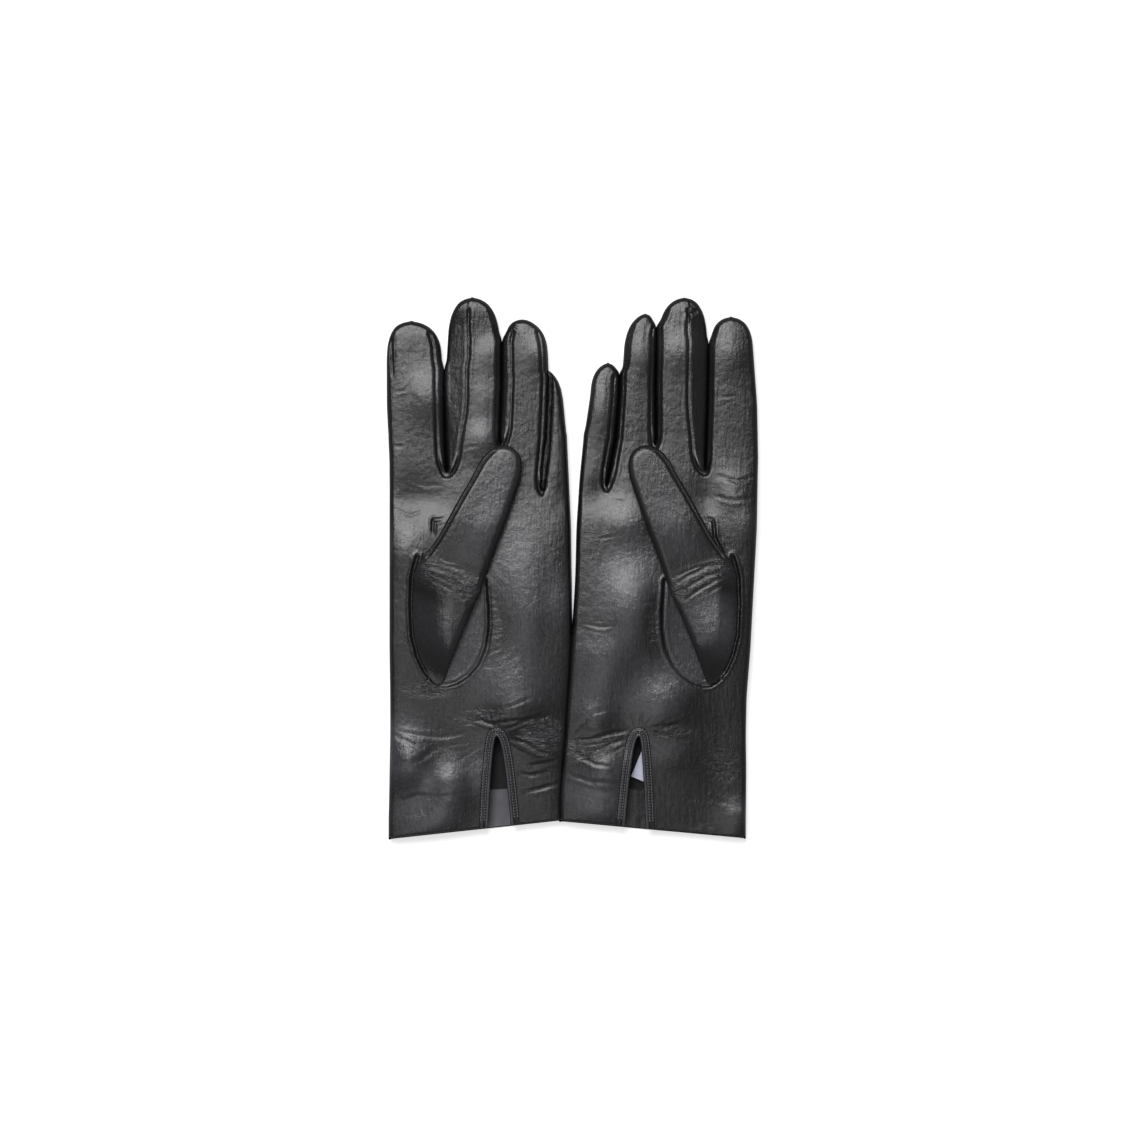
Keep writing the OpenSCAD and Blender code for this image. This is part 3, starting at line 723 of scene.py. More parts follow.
# The free side of the left little finger, from its root to its tip: y, x.
LITTLE_SIDE = [(60, -2.9), (64.2, -3.0), (68.9, -3.5), (73.5, -3.9), (78.2, -4.4), (82.8, -5.3), (86.0, -6.5),
               (88.5, -8.0), (90.2, -9.6), (91.2, -10.95)]

# The height in millimetres of a swell given as 1.
SWELL = 2.0


def swells(x, y, side):
    """The broad swells of the palm side. Each stands a little below and beside the place where it shines."""
    moved = [(px + 0.25 * ry, py - 0.6 * ry, rx, ry, h, t) for px, py, rx, ry, h, t in SWELLS_AND_PAINTED_HIGHLIGHTS[side]]
    return SWELL * hills(x, y, moved)


# Where the palm side swells, and where its base colour is lightened as a painted highlight: x, y, reach along
# x, reach along y, height, turn in degrees.
SWELLS_AND_PAINTED_HIGHLIGHTS = {
    "left": [(-69.6, 85, 9, 11, 0.68, 0), (-42.9, 64.2, 8, 9, 0.6, 0), (-39.4, 107, 7, 9, 0.38, 0),
             (-17.4, 103.7, 6, 8, 0.45, 0), (-41.7, 82.8, 8, 9, 0.3, 0), (-26.7, 6.3, 13, 20, 0.8, -10),
             (-22, -16.9, 10, 14, 0.8, 0), (-78.8, 12, 9, 10, 0.5, 0), (-31.3, -47.1, 16, 14, 1.0, 20),
             (-7, -14, 7, 14, 0.5, 0), (-78.8, -83, 10, 12, 1.9, 0), (-60, -95, 10, 12, 1.7, 0),
             (-44, -92, 5, 10, 0.6, 0), (-28, -63, 13, 10, 1.2, 20), (-68.4, -112, 14, 8, 0.9, 0),
             (-15.1, -77.2, 10, 9, 1.0, 0), (-74, 38, 14, 10, -0.75, 0), (-42, 112, 9, 9, -0.4, 0),
             (-7, 38, 7, 9, -0.4, 0)],
    "right": [(23, -8, 13, 20, 1.5, 0), (24.4, 25.9, 9, 9, 0.6, 0), (70.7, 38.8, 10, 9, 0.7, 0),
              (78.8, 24.9, 7, 9, 0.6, 0), (39.4, -57, 14, 12, 1.2, 30), (9, -64.5, 8, 10, 0.9, 0),
              (12.8, -38, 11, 14, 0.9, 0), (62, 38, 9, 9, -0.75, 0), (10, 38, 8, 8, -0.4, 0),
              (70, -66, 15, 12, -0.6, 0), (68, -92, 16, 12, -0.65, 0), (60, -112, 18, 7, -0.35, 0),
              (11.6, 79.2, 6, 11, 0.38, 0), (48.7, 104.8, 8, 9, 0.45, 0), (71.9, 103.8, 7, 9, 0.38, 0),
              (31.3, 103.8, 6, 9, 0.38, 0), (12.8, -88.8, 12, 11, 2.0, 20), (10.4, -109, 13, 9, 1.1, 0),
              (75.4, -109.8, 8, 7, 0.75, 0), (45.2, -80.8, 12, 9, 0.6, 0)],
}
# Where the leather is finely wrinkled and its base colour lightened a little as a painted highlight, in the
# same way.
WRINKLES_AND_PAINTED_HIGHLIGHTS = {
    "left": [(-14, -78, 13, 11, 1, -20), (-38, -68, 14, 5, 0.8, 10), (-66, -57, 12, 4, 0.7, 0),
             (-64, -86, 14, 8, 0.35, 0), (-35, -30, 5, 18, 0.5, 0), (-76, 80, 9, 6, 0.4, 20)],
    "right": [(10, -84, 14, 9, 1, 15), (46, -76, 10, 4, 0.7, 0), (70, -92, 10, 8, 0.5, -30),
              (12, -27, 10, 4, 0.5, 0), (37, -25, 4, 14, 0.5, 0), (75, 32, 10, 10, 0.5, 0),
              (12, 14, 9, 8, 0.4, 0)],
}
# Creases of the palm side: points, depth, width.
PALM_CREASES = {
    "left": [
        (((-51, -69.1), (-37.1, -72.6), (-22, -70.8), (-10.4, -68.2), (-3.5, -68.2)), 0.34, 0.8),
        (((-35.9, -66.8), (-26.7, -63.9), (-17.4, -59.8)), 0.22, 0.7),
        (((-47.5, -68.2), (-39.4, -72.6), (-31.3, -74.9)), 0.34, 0.7),
        (((-32.5, -75.5), (-22, -72), (-12.8, -69.7), (-2.3, -70.8)), 0.36, 0.8),
        (((-28.4, -79.5), (-22, -81.9), (-15.1, -86.5), (-8.1, -88.8)), 0.4, 0.9),
        (((-27.2, -77.8), (-17.4, -78.4), (-8.1, -83)), 0.32, 0.8),
        (((-17.4, -72.6), (-10.4, -76.1), (-3.5, -81.9)), 0.3, 0.9),
        (((-82.9, -76.1), (-73.1, -77.8), (-61.5, -79), (-42.9, -76.6)), 0.26, 0.9),
        (((-76.5, -55.8), (-68.4, -58.7), (-56.8, -59.3)), 0.26, 0.5),
        (((-74.2, -58.1), (-64.9, -59.8), (-58, -60.1)), 0.22, 0.5),
        (((-83.5, -77.8), (-77.7, -80.1), (-70.7, -84.2)), 0.24, 0.9),
        (((-80, -92.3), (-70.7, -88.8), (-63.8, -84.2)), 0.22, 1.2),
        (((-83.5, -107.4), (-71.9, -104.5), (-61.5, -105.6), (-43.8, -104.1)), 0.24, 1.1),
        (((-22, -93.5), (-12.8, -92.3), (-5.2, -90)), 0.26, 0.9),
        (((-23.2, -106.2), (-15.1, -105.1), (-5.2, -102.7)), 0.34, 1),
        (((-26.7, -95.8), (-19.7, -98.1), (-10.4, -96.9)), 0.3, 0.9),
        (((-83.5, 27.1), (-75.4, 23.7), (-68.4, 26)), 0.22, 0.7),
        (((-39.4, -19.2), (-33.6, -18.8)), 0.2, 0.5), (((-38.8, -25), (-33, -23.7)), 0.2, 0.5),
        (((-38.8, -33.2), (-31.3, -30.3)), 0.22, 0.5), (((-39.4, -40.1), (-32.5, -37.8)), 0.22, 0.5),
        (((-42.9, -45.9), (-35.9, -46.5)), 0.18, 0.5), (((-38.8, -14.6), (-34.8, -15.8)), 0.2, 0.5),
        (((-77.7, 41), (-68.4, 37.6), (-59.1, 37.6)), 0.2, 0.7),
        (((-84.6, 80.5), (-77.7, 81.6), (-73.1, 87.4)), 0.1, 0.6),
        (((-83.5, 77.6), (-76.5, 79.3)), 0.08, 0.5),
        (((-58, 92.1), (-51, 90.9)), 0.2, 0.5), (((-49.9, 55), (-42.9, 56.1)), 0.2, 0.6),
        (((-83.5, 56.1), (-77.7, 55.5)), 0.18, 0.6),
    ],
    "right": [
        (((-1.2, -80.7), (7, -80.7), (18.6, -77.2), (27.8, -75.5)), 0.42, 0.9),
        (((1.2, -83.6), (10.4, -82.4), (20.9, -79)), 0.36, 0.8),
        (((4.6, -86.5), (12.8, -84.2), (23.2, -80.7)), 0.34, 0.8),
        (((0, -91.1), (8.1, -87.7), (16.2, -84.2)), 0.3, 0.9),
        (((-2.3, -98.1), (8.1, -101), (20.3, -101.3)), 0.4, 1),
        (((34.8, -76.1), (41.7, -77.8), (47.5, -78.4)), 0.28, 0.7),
        (((35.9, -74.9), (42.9, -73.7), (51, -72.6)), 0.24, 0.7),
        (((63.8, -87.7), (70.7, -93.5), (75.4, -96.9)), 0.32, 0.9),
        (((63.8, -93.5), (69.6, -95.8), (73.1, -98.1)), 0.26, 0.8),
        (((38.3, -104.5), (53.3, -106.2), (70.7, -107.4), (77.1, -108.8)), 0.14, 1.1),
        (((0, -76.1), (9.3, -67.9), (18.6, -65.6)), 0.22, 1),
        (((1.2, -87.7), (10.4, -92.3), (18.6, -93.5)), 0.24, 1),
        (((4.6, -26.2), (12.8, -27.9), (19.7, -27.4)), 0.28, 0.6),
        (((64.9, 32.9), (74.2, 30.6), (84.6, 31.8)), 0.26, 0.8),
        (((67.3, 42.2), (76.5, 39.3), (84.6, 42.2)), 0.28, 0.9),
        (((18.6, 30.6), (25.5, 29.5)), 0.22, 0.6),
        (((31.3, -16.9), (39.4, -15.8)), 0.2, 0.5), (((33.6, -25), (40, -24.5)), 0.2, 0.5),
        (((34.8, -34.3), (41.2, -32.6)), 0.2, 0.5), (((8.1, 15.5), (12.8, 13.2), (22, 14.4)), 0.18, 0.6),
        (((68.4, 78.2), (75.4, 79.3)), 0.2, 0.5), (((53.3, 86.3), (61.5, 85.1)), 0.18, 0.5),
        (((45.2, 75.8), (48.7, 68.9)), 0.2, 0.6),
    ],
}
# Folds that fan out from the top of the vent: angle in degrees, length, depth.
VENT_FOLDS = [(15, 24, 0.26), (32, 30, 0.28), (58, 14, 0.2), (84, 12, 0.2), (108, 13, 0.2),
              (133, 18, 0.24), (152, 28, 0.28), (170, 24, 0.26), (-16, 24, 0.3), (-36, 20, 0.26),
              (196, 24, 0.3), (216, 20, 0.24)]
# Short seams at the fingertips and the openings left beside the thumbs, sunk like the creases.
EXTRA_SEAMS = {
    "left": [(((-82.6, 112.0), (-83.5, 109.5), (-84.0, 102.5), (-83.4, 87.5)), 1.0, 0.6),
             (((-31.3, 109.5), (-29.0, 112.4), (-24.9, 110.6)), 0.5, 0.7),
             (((-64.9, 15.0), (-64.7, 21.6), (-59.5, 22.0)), 0.9, 0.6)],
    "right": [(((53.6, 112.4), (53.9, 116.4), (57.4, 118.4), (59.4, 120.8), (56.4, 123.1)), 0.8, 0.6),
              (((36.6, 106.3), (37.4, 110.3), (39.2, 113.9), (40.6, 115.7)), 0.6, 0.6),
              (((61.0, 22.3), (65.2, 21.6), (65.9, 13.2), (70.0, 5.4)), 0.9, 0.7)],
}


def in_patch(a, b):
    """1 on the part of the thumb's gusset that shows beside the thumb, in the thumb's frame."""
    edge = np.array(OVAL[:11], float)[::-1]
    limit = np.interp(a, edge[:, 0], edge[:, 1])
    return ((b < limit) & (b > 8) & (a < 6) & (a > -46.6)).astype(float)


@functools.cache
def hand(side):
    """The plan of one glove, worked out once."""
    return Hand(side)


def overhang(y, top):
    """How far the back of a cuff stands out past its palm side."""
    return 1.3 * np.clip((-96 - y) / 25, 0, 1) ** 2 * (0 if top else 1)


def leather_shell(side):
    """The palm, back and fingers of one glove as one surface, cut into a piece for each body."""
    h, skin = hand(side), Skin()
    left, right = float(np.interp(CUFF_Y, h.fine, h.low)), float(np.interp(CUFF_Y, h.fine, h.high))
    for i, s in enumerate(h.strips):
        ys, w = s["y"], np.maximum(s["high"] - s["low"], 1e-6)
        width = float(np.interp(70, ys, w))
        sewn = [n for n, v in enumerate(h.seam_shares[i]) if v is not None]
        columns = {}
        for n in sewn:
            value = h.seam_shares[i][n]
            fork = h.gaps[i - 1 if n == 0 else i]["y"]
            got = np.clip((h.seam_x(i, n, ys) - s["low"]) / w, 0.035, 0.965)
            got = value + (got - value) * ramp(ys, fork - 16, fork + 2)
            columns[n] = np.where(ys > s["tip"] - 3, got[np.searchsorted(ys, s["tip"] - 3) - 1], got)
        for top in (True, False):
            base = shares(width, [h.seam_shares[i][n] for n in sewn] if top else [],
                          *((0.14, 0.7) if top else (0.3, 2.4)))
            share = np.tile(base, (len(ys), 1))
            low, high = s["low"], s["high"]
            if not top and i in (1, 2):
                # the back has no vent
                middle = (h.edge(1, ys, -1) + h.edge(1, ys, 1)) / 2
                if i == 1:
                    high = np.where(ys < h.vent[0][1], middle, high)
                else:
                    low = np.where(ys < h.vent[0][1], middle, low)
            if top and sewn:
                marks = [int(np.abs(base - h.seam_shares[i][n]).argmin()) for n in sewn]
                knots = [0, *base[marks], 1]
                for r in range(len(ys)):
                    share[r] = np.interp(base, knots, [0, *(columns[n][r] for n in sewn), 1])
            x = low[:, None] + (high - low)[:, None] * share
            y = np.repeat(ys[:, None], share.shape[1], 1)
            z, d = h.surface(x.ravel(), y.ravel(), top)
            if top:
                for n in sewn:
                    # the side strip beyond a seam falls away towards the finger's edge
                    fork = h.gaps[i - 1 if n == 0 else i]["y"]
                    seam = s["low"] + w * columns[n]
                    beyond = np.maximum((seam[:, None] - x) * (1 if n == 0 else -1), 0)
                    fall = np.minimum(0.5 * ramp(beyond, 0.2, 1.0) + 0.24 * beyond, 2.4)
                    fall *= ramp(y, fork + 1, fork + 9) * (1 - 0.6 * ramp(y, s["tip"] - 14, s["tip"] - 4))
                    z = z - (fall * pillow(d.reshape(x.shape), 2.4)).ravel()
            # how wrinkled the palm side is and how far its base colour is lightened as a painted highlight;
            # the back gets none
            wrinkled_and_painted_highlight = h.wrinkling_and_painted_sheen(x.ravel(), y.ravel()).reshape(x.shape) if top else None
            hem = overhang(y, top)
            grid = np.stack([x, h.slanted(x, y) - hem, z.reshape(x.shape)], 2)
            # the mouth of the cuff is rolled over on to the facing inside
            x1 = (left + right) / 2 + (x[0] - (left + right) / 2) * (1 - 2 * ROLL / (right - left))
            y1 = np.full(len(x1), CUFF_Y)
            turned = np.stack([x1, h.slanted(x1, y1) - hem[0], h.inner(x1, y1, top, ROLL, FACING_DROP)], 1)
            rolls = []
            for angle in (180, 135, 90, 45):
                t, out = (1 - math.cos(math.radians(angle))) / 2, math.sin(math.radians(angle))
                rolls.append(grid[0] + (turned - grid[0]) * t - np.array([0, 0.5 * out, 0]))
            grid = np.concatenate([np.array(rolls), grid])
            tags = [f"{side}_{h.order[i]}_leather" if v >= h.hinge[i] - 1e-6 else f"{side}_hand_leather"
                    for v in [*[CUFF_Y] * 4, *ys]]
            if wrinkled_and_painted_highlight is not None:
                wrinkled_and_painted_highlight = np.concatenate([np.repeat(wrinkled_and_painted_highlight[:1], 4, 0), wrinkled_and_painted_highlight])
            skin.add(grid, tags, wrinkled_and_painted_highlight, flip=not top)
    return skin


def tube(side, name, start, end, inset, drop):
    """The facing or the lining of one glove, between two stations. Both ends and the vent are open."""
    h, skin = hand(side), Skin()
    ys = h.stations(start, end, 1.5, [h.vent[0][1]])
    lo, hi = np.interp(ys, h.fine, h.low) + inset, np.interp(ys, h.fine, h.high) - inset
    for top, a, b in ((True, lo, h.edge(1, ys, -1)), (True, h.edge(1, ys, 1), hi), (False, lo, hi)):
        base = shares(40 if top else 80, [], 0.5, 2.0)
        x = a[:, None] + (b - a)[:, None] * base
        y = np.repeat(ys[:, None], len(base), 1)
        z = h.inner(x.ravel(), y.ravel(), top, inset, drop).reshape(x.shape)
        if not top:
            # the lining lies a little slack on the back
            d = np.minimum(x - lo[:, None], hi[:, None] - x)
            z = z + 0.12 * np.sin(x * 0.9 + 0.5 * np.sin(y * 0.31)) * ramp(d, 2, 8)
        hem = overhang(y, top)
        skin.add(np.stack([x, h.slanted(x, y) - hem, z], 2), [name] * len(ys), None, flip=top)
    return skin


# The bound edge of the vent, from its outer edge over the roll to its raw edge inside: out from the vent, up.
BINDING = [(4.25, -0.4), (4.15, 0.05), (3.95, 0.42), (3.6, 0.5), (3.25, 0.42), (2.9, 0.55), (2.5, 0.72),
           (2.15, 0.62), (1.9, 0.36), (1.7, 0.3), (1.55, 0.5), (1.3, 0.95), (0.8, 1.15), (0.3, 1.12),
           (-0.1, 0.7), (-0.15, 0.0), (-0.15, -0.5), (0.05, -0.85), (0.6, -1.0), (2.6, -1.05)]
# The rows of stitches on it, in the same way, and a stitch's length, thickness and slant in radians.
STITCH_ROWS = ((1.85, 0.66), (3.45, 0.80))
STITCH_LENGTH, STITCH_THICKNESS, STITCH_SLANT = 0.95, 0.6, 0.25


def along_vent(h, out):
    """Points at a distance out from the vent's edge, from one of its feet over the apex to the other."""
    (ax, ay), x0, x1 = h.vent
    u = np.concatenate([0.16 * np.linspace(0, 1, 13) ** 1.4, np.linspace(0.2, 1, 44)])
    sides = []
    for foot, way in ((x0, -1), (x1, 1)):
        n = np.stack([way * 2 * u * (ay - CUFF_Y), np.full(len(u), abs(foot - ax))], 1)
        n /= np.linalg.norm(n, axis=1)[:, None]
        sides.append(np.stack([ax + (foot - ax) * u, ay + (CUFF_Y - ay) * u * u], 1) + n * out)
    line = np.concatenate([sides[0][::-1], sides[1][1:]])
    line[[0, -1], 1] = CUFF_Y - 0.5
    return line


def on_palm(h, line, up):
    """Points of the plan laid on the palm side, a height above it."""
    y = np.maximum(line[:, 1], CUFF_Y)
    z, _ = h.surface(line[:, 0], y, True, False)
    z = z + swells(line[:, 0], y, h.side)
    return np.stack([line[:, 0], h.slanted(line[:, 0], y) + line[:, 1] - y, z + up], 1)


# ---------------------------------------------------------------- operators

# A length along a thumb from its crease, in metres. The thumbs' operator works out the point at that length
# but does not use it.
BEND = 0.02


class GLOVES_OT_hands(bpy.types.Operator):
    """Make the leather of the hands and fingers"""
    bl_idname = "gloves.hands"
    bl_label = "Hands and Fingers"

    def execute(self, context):
        for side in HANDS:
            pieces = leather_shell(side).pieces(material("nappa"))
            for name, piece in pieces.items():
                finger = name[len(side) + 1:].split("_")[0]
                if finger == "hand":
                    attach(piece, f"{side}_glove")
                    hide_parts(f"{side}_trank", f"{side}_quirks")
                else:
                    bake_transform(piece)
                    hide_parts(*[n for n in frame["nodes"] if n.startswith(f"{side}_{finger}_")])
        return {"FINISHED"}


class GLOVES_OT_thumbs(bpy.types.Operator):
    """Make the folded thumbs"""
    bl_idname = "gloves.thumbs"
    bl_label = "Thumbs"

    def execute(self, context):
        for side in HANDS:
            h = hand(side)
            nodes = [f"{side}_thumb", f"{side}_thumb_root"]

            def turn(v, h=h):
                a, b = h.to_thumb(v[:, 0], v[:, 1])
                return np.stack([b, a, v[:, 2]], 1)
            tip = max(turn(cad_edges([nodes[0]])[0])[:, 1])
            foot = min(turn(cad_edges([nodes[1]])[0])[:, 1])
            at = np.concatenate([np.arange(foot + 0.3, -0.6, 0.8), np.arange(1.0, tip - 0.8, 0.8)])
            cut = slices(nodes, at, turn)
            even = np.arange(at[0], at[-1], 0.5)
            sides = rounded(even, smoothed(np.interp(even, at, cut[:, 0]), 6),
                            smoothed(np.interp(even, at, cut[:, 1]), 6), tip, 9)
            foot, begin = foot - 1.0, foot + 1.6
            rows = np.concatenate([foot + (begin - foot) * (1 - np.cos(np.linspace(0, np.pi / 2, 6))),
                                   np.arange(begin + 0.7, tip - 7, 0.7),
                                   tip - 6.4 * (1 - np.sin(np.linspace(0, np.pi / 2, 22)))])
            w = np.where(rows < begin, np.sqrt(np.clip(1 - ((begin - rows) / (begin - foot)) ** 2, 0, 1)), 1)
            low, high = sides(rows)
            mid = (low + high) / 2
            low, high = mid + (low - mid) * w, mid + (high - mid) * w
            outline = [np.stack([low, rows], 1), np.stack([high, rows], 1)]
            skin = Skin()
            for top in (True, False):
                base = shares(26, [0.07], *((0.13, 0.75) if top else (0.3, 2.2)))
                b = low[:, None] + (high - low)[:, None] * base
                a = np.repeat(rows[:, None], len(base), 1)
                share = np.repeat(base[None], len(rows), 0)
                d = distance(np.stack([b.ravel(), a.ravel()], 1), outline).reshape(b.shape)
                lift_low = ramp(a, -14, 8)
                lift_high = ramp(a, -46, -26)
                lift = lift_low * (1 - share) + lift_high * share
                edge = THUMB_SEAT - 0.15 + 4.4 * lift
                # the root rises gently from its seam, and the free thumb stands on a rounded edge
                slope = 0.04 + 0.96 * ramp(b - low[:, None], -3, 21 if side == "left" else 10)
                gentle = lift_low + (1 - lift_low) * slope
                if top:
                    rise = 0.84 * ramp(a, -50, -24) + 0.16 * ramp(a, 4, 30)
                    full = THUMB_SEAT + THUMB_RISE * rise * (1 - 0.16 * ramp(a, 30, 66)) + thumb_relief(a, b)
                    crown = 0.75 * pillow(d, 3.4) + 0.25 * pillow(d, 12)
                    z = edge + np.maximum(full - edge, 0.2) * gentle * crown
                    # the seam along the free thumb's inner edge
                    rim = ramp(a, 4, 7) * (1 - ramp(a, 60, 64)) * (share < 0.5)
                    inset = np.abs(d - 1.75)
                    z = z - rim * 0.9 * np.exp(-(inset / 0.5) ** 2)
                    z = z + creases(b.ravel(), a.ravel(), THUMB_CREASES[side]).reshape(b.shape) * pillow(d, 3)
                    # the foot of the thumb is wrinkled; less the places painted lighter as a highlight
                    wrinkled_and_painted_highlight = 0.7 * np.exp(-((a + 1) / 7) ** 2) - THUMB_GLOSS_AND_PAINTED_HIGHLIGHT[side](a, b)
                else:
                    floor = THUMB_SEAT - 0.5 + 0.95 * lift
                    z = edge - (edge - floor) * pillow(d, 4.0)
                    wrinkled_and_painted_highlight = None
                x, y = h.from_thumb(a, b)
                grid = np.stack([x, y, z], 2)
                skin.add(grid, [f"{side}_thumb_leather"] * len(rows), wrinkled_and_painted_highlight,
                         flip=(not top) if side == "right" else top)
            piece = skin.piece(material("nappa"))
            x0, y0 = h.from_thumb(np.array(0.0), np.array(0.0))
            x1, y1 = h.from_thumb(np.array(BEND / MM), np.array(0.0))
            z = joint(f"{side}_thumb_spread")["pos_m"][2]
            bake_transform(piece)
            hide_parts(f"{side}_thumb", f"{side}_thumb_root", f"{side}_thumb_lining")
        return {"FINISHED"}


# The height a thumb lies at, and how far it rises from there, in millimetres.
THUMB_SEAT, THUMB_RISE = 12.9, 8.2
# Where a thumb is stretched smooth and its base colour lightened as a painted highlight, along it and across
# it.
THUMB_GLOSS_AND_PAINTED_HIGHLIGHT = {
    "left": lambda a, b: 0.9 * np.exp(-((a - 40) / 26) ** 2 - ((b - 3) / 7) ** 2) + 0.25 * np.exp(
        -((a + 22) / 14) ** 2),
    "right": lambda a, b: 0.7 * np.exp(-((a - 34) / 24) ** 2 - ((b - 2) / 7) ** 2) + 1.2 * np.exp(
        -((a + 18) / 15) ** 2 - ((b - 1) / 9) ** 2),
}
# Fine wrinkles across the foot of the thumb: points across and along it, depth, width.
THUMB_CREASES = {
    "left": [(((-17.9, 0.1), (-7.4, 2.7), (2.5, 3.1), (14.8, 2.2)), 0.3, 0.7),
             (((-16.7, -1.6), (-7.4, -0.5), (2.9, -0.9), (13.3, -0.3)), 0.26, 0.6),
             (((-14.1, -3.9), (-3.8, -3.1), (6.8, -4.3)), 0.24, 0.6),
             (((-13.8, 2.8), (-3.7, 5.8), (5.8, 7.2)), 0.2, 0.5),
             (((-10.2, 9.4), (-5.6, 7.5), (2.5, 9)), 0.2, 0.6)],
    "right": [(((-16.4, 1.7), (-5.6, 4.4), (4.6, 4), (15.5, 1.8)), 0.34, 0.7),
              (((-14.5, 0), (-1.5, 0.5), (11.4, -1.7)), 0.3, 0.6),
              (((-11.7, -2), (2.9, -4), (12.6, -6.2)), 0.26, 0.6),
              (((-11.9, 4.2), (0, 6.1), (11.3, 5.8)), 0.22, 0.6),
              (((-14.3, -4.9), (-0.9, -6.9)), 0.2, 0.6)],
}


def thumb_relief(a, b):
    """The soft hollows of a thumb that holds no hand."""
    return hills(b, a, [(0, 38, 9, 12, -0.5, 0), (2, 8, 12, 6, -0.35, 0), (1, -27, 15, 13, 1.2, 0)])


class GLOVES_OT_cuffs(bpy.types.Operator):
    """Make the turned hems, the silk linings and the bound edges of the vents"""
    bl_idname = "gloves.cuffs"
    bl_label = "Cuffs, Linings and Vents"

    def execute(self, context):
        for side in HANDS:
            h = hand(side)
            # the right facing gets the darker outside leather as painted shade; the left has the lighter
            # facing leather
            facing = tube(side, f"{side}_facing", CUFF_Y, FACING_END, ROLL, FACING_DROP).piece(
                material("nappa_facing" if side == "left" else "nappa"))
            lining = tube(side, f"{side}_lining", LINING_START, LINING_END, LINING_INSET, LINING_DROP).piece(
                material("lining_silk"))
            lines = [on_palm(h, along_vent(h, out), up) for out, up in BINDING]
            skin = Skin()
            grid = np.stack(lines, 1)
            grid[[0, -1], :, 2] -= 0.3
            # the roll and the ridge between the two rows of stitches are glossier and have a lighter base
            # colour, a painted highlight
            shine = [-1.0 if 0.2 < out < 1.4 and up > 0.5 else -0.3 if 2.4 < out < 3 else 0.0
                     for out, up in BINDING]
            skin.add(grid, [f"{side}_binding"] * len(grid), np.tile(shine, (len(grid), 1)))
            binding = skin.piece(material("nappa"))
            for piece, node_name, slot in ((facing, "hem_facing", "leather_inside"),
                                           (lining, "palm_lining", "silk"),
                                           (binding, "vent_binding", "leather")):
                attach(piece, f"{side}_glove")
                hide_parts(f"{side}_{node_name}")
        return {"FINISHED"}


def stitch_tree():
    """Lays stitches along the edges of a mesh: each a short thread lying at a slant to its row."""
    tree = bpy.data.node_groups.new("stitches", "GeometryNodeTree")
    face = tree.interface
    face.new_socket("Rows", in_out="INPUT", socket_type="NodeSocketGeometry")
    for name, low, high in (("Pitch", 0.0005, 0.01), ("Length", 0.0002, 0.01), ("Thickness", 0.0001, 0.002),
                            ("Slant", -1.6, 1.6)):
        socket = face.new_socket(name, in_out="INPUT", socket_type="NodeSocketFloat")
        socket.min_value, socket.max_value = low, high
    face.new_socket("Seed", in_out="INPUT", socket_type="NodeSocketInt")
    face.new_socket("Thread", in_out="INPUT", socket_type="NodeSocketMaterial")
    face.new_socket("Stitches", in_out="OUTPUT", socket_type="NodeSocketGeometry")
    start = tree.nodes.new("NodeGroupInput").outputs
    row = node(tree, "GeometryNodeMeshToCurve", None, i0=start["Rows"])
    spaced = node(tree, "GeometryNodeResampleCurve", {"mode": "LENGTH"}, Curve=row.outputs[0],
                  Length=start["Pitch"])
    size = node(tree, "ShaderNodeCombineXYZ", None, X=start["Length"], Y=start["Thickness"],
                Z=start["Thickness"])
    bead = node(tree, "GeometryNodeMeshUVSphere", None, Segments=6, Rings=5, Radius=0.5)
    upright = node(tree, "GeometryNodeTransform", None, Geometry=bead.outputs[0],
                   Rotation=(0, math.pi / 2, 0))
    tangent = node(tree, "GeometryNodeInputTangent")
    along = node(tree, "FunctionNodeAlignRotationToVector", {"axis": "X"}, Vector=tangent.outputs[0])
    vary = node(tree, "FunctionNodeRandomValue", {"data_type": "FLOAT"}, i2=-0.12, i3=0.12, i8=start["Seed"])
    lean = node(tree, "ShaderNodeMath", {"operation": "ADD"}, i0=start["Slant"], i1=vary.outputs[1])
    turn = node(tree, "ShaderNodeCombineXYZ", None, Z=lean.outputs[0])
    turned = node(tree, "FunctionNodeRotateRotation", {"rotation_space": "LOCAL"}, i0=along.outputs[0],
                  i1=turn.outputs[0])
    laid = node(tree, "GeometryNodeInstanceOnPoints", None, Points=spaced.outputs[0],
                Instance=upright.outputs[0], Rotation=turned.outputs[0], Scale=size.outputs[0])
    real = node(tree, "GeometryNodeRealizeInstances", None, Geometry=laid.outputs[0])
    shaded = node(tree, "GeometryNodeSetShadeSmooth", None, i0=real.outputs[0])
    thread = node(tree, "GeometryNodeSetMaterial", None, Geometry=shaded.outputs[0], Material=start["Thread"])
    node(tree, "NodeGroupOutput", None, i0=thread.outputs[0])
    return tree


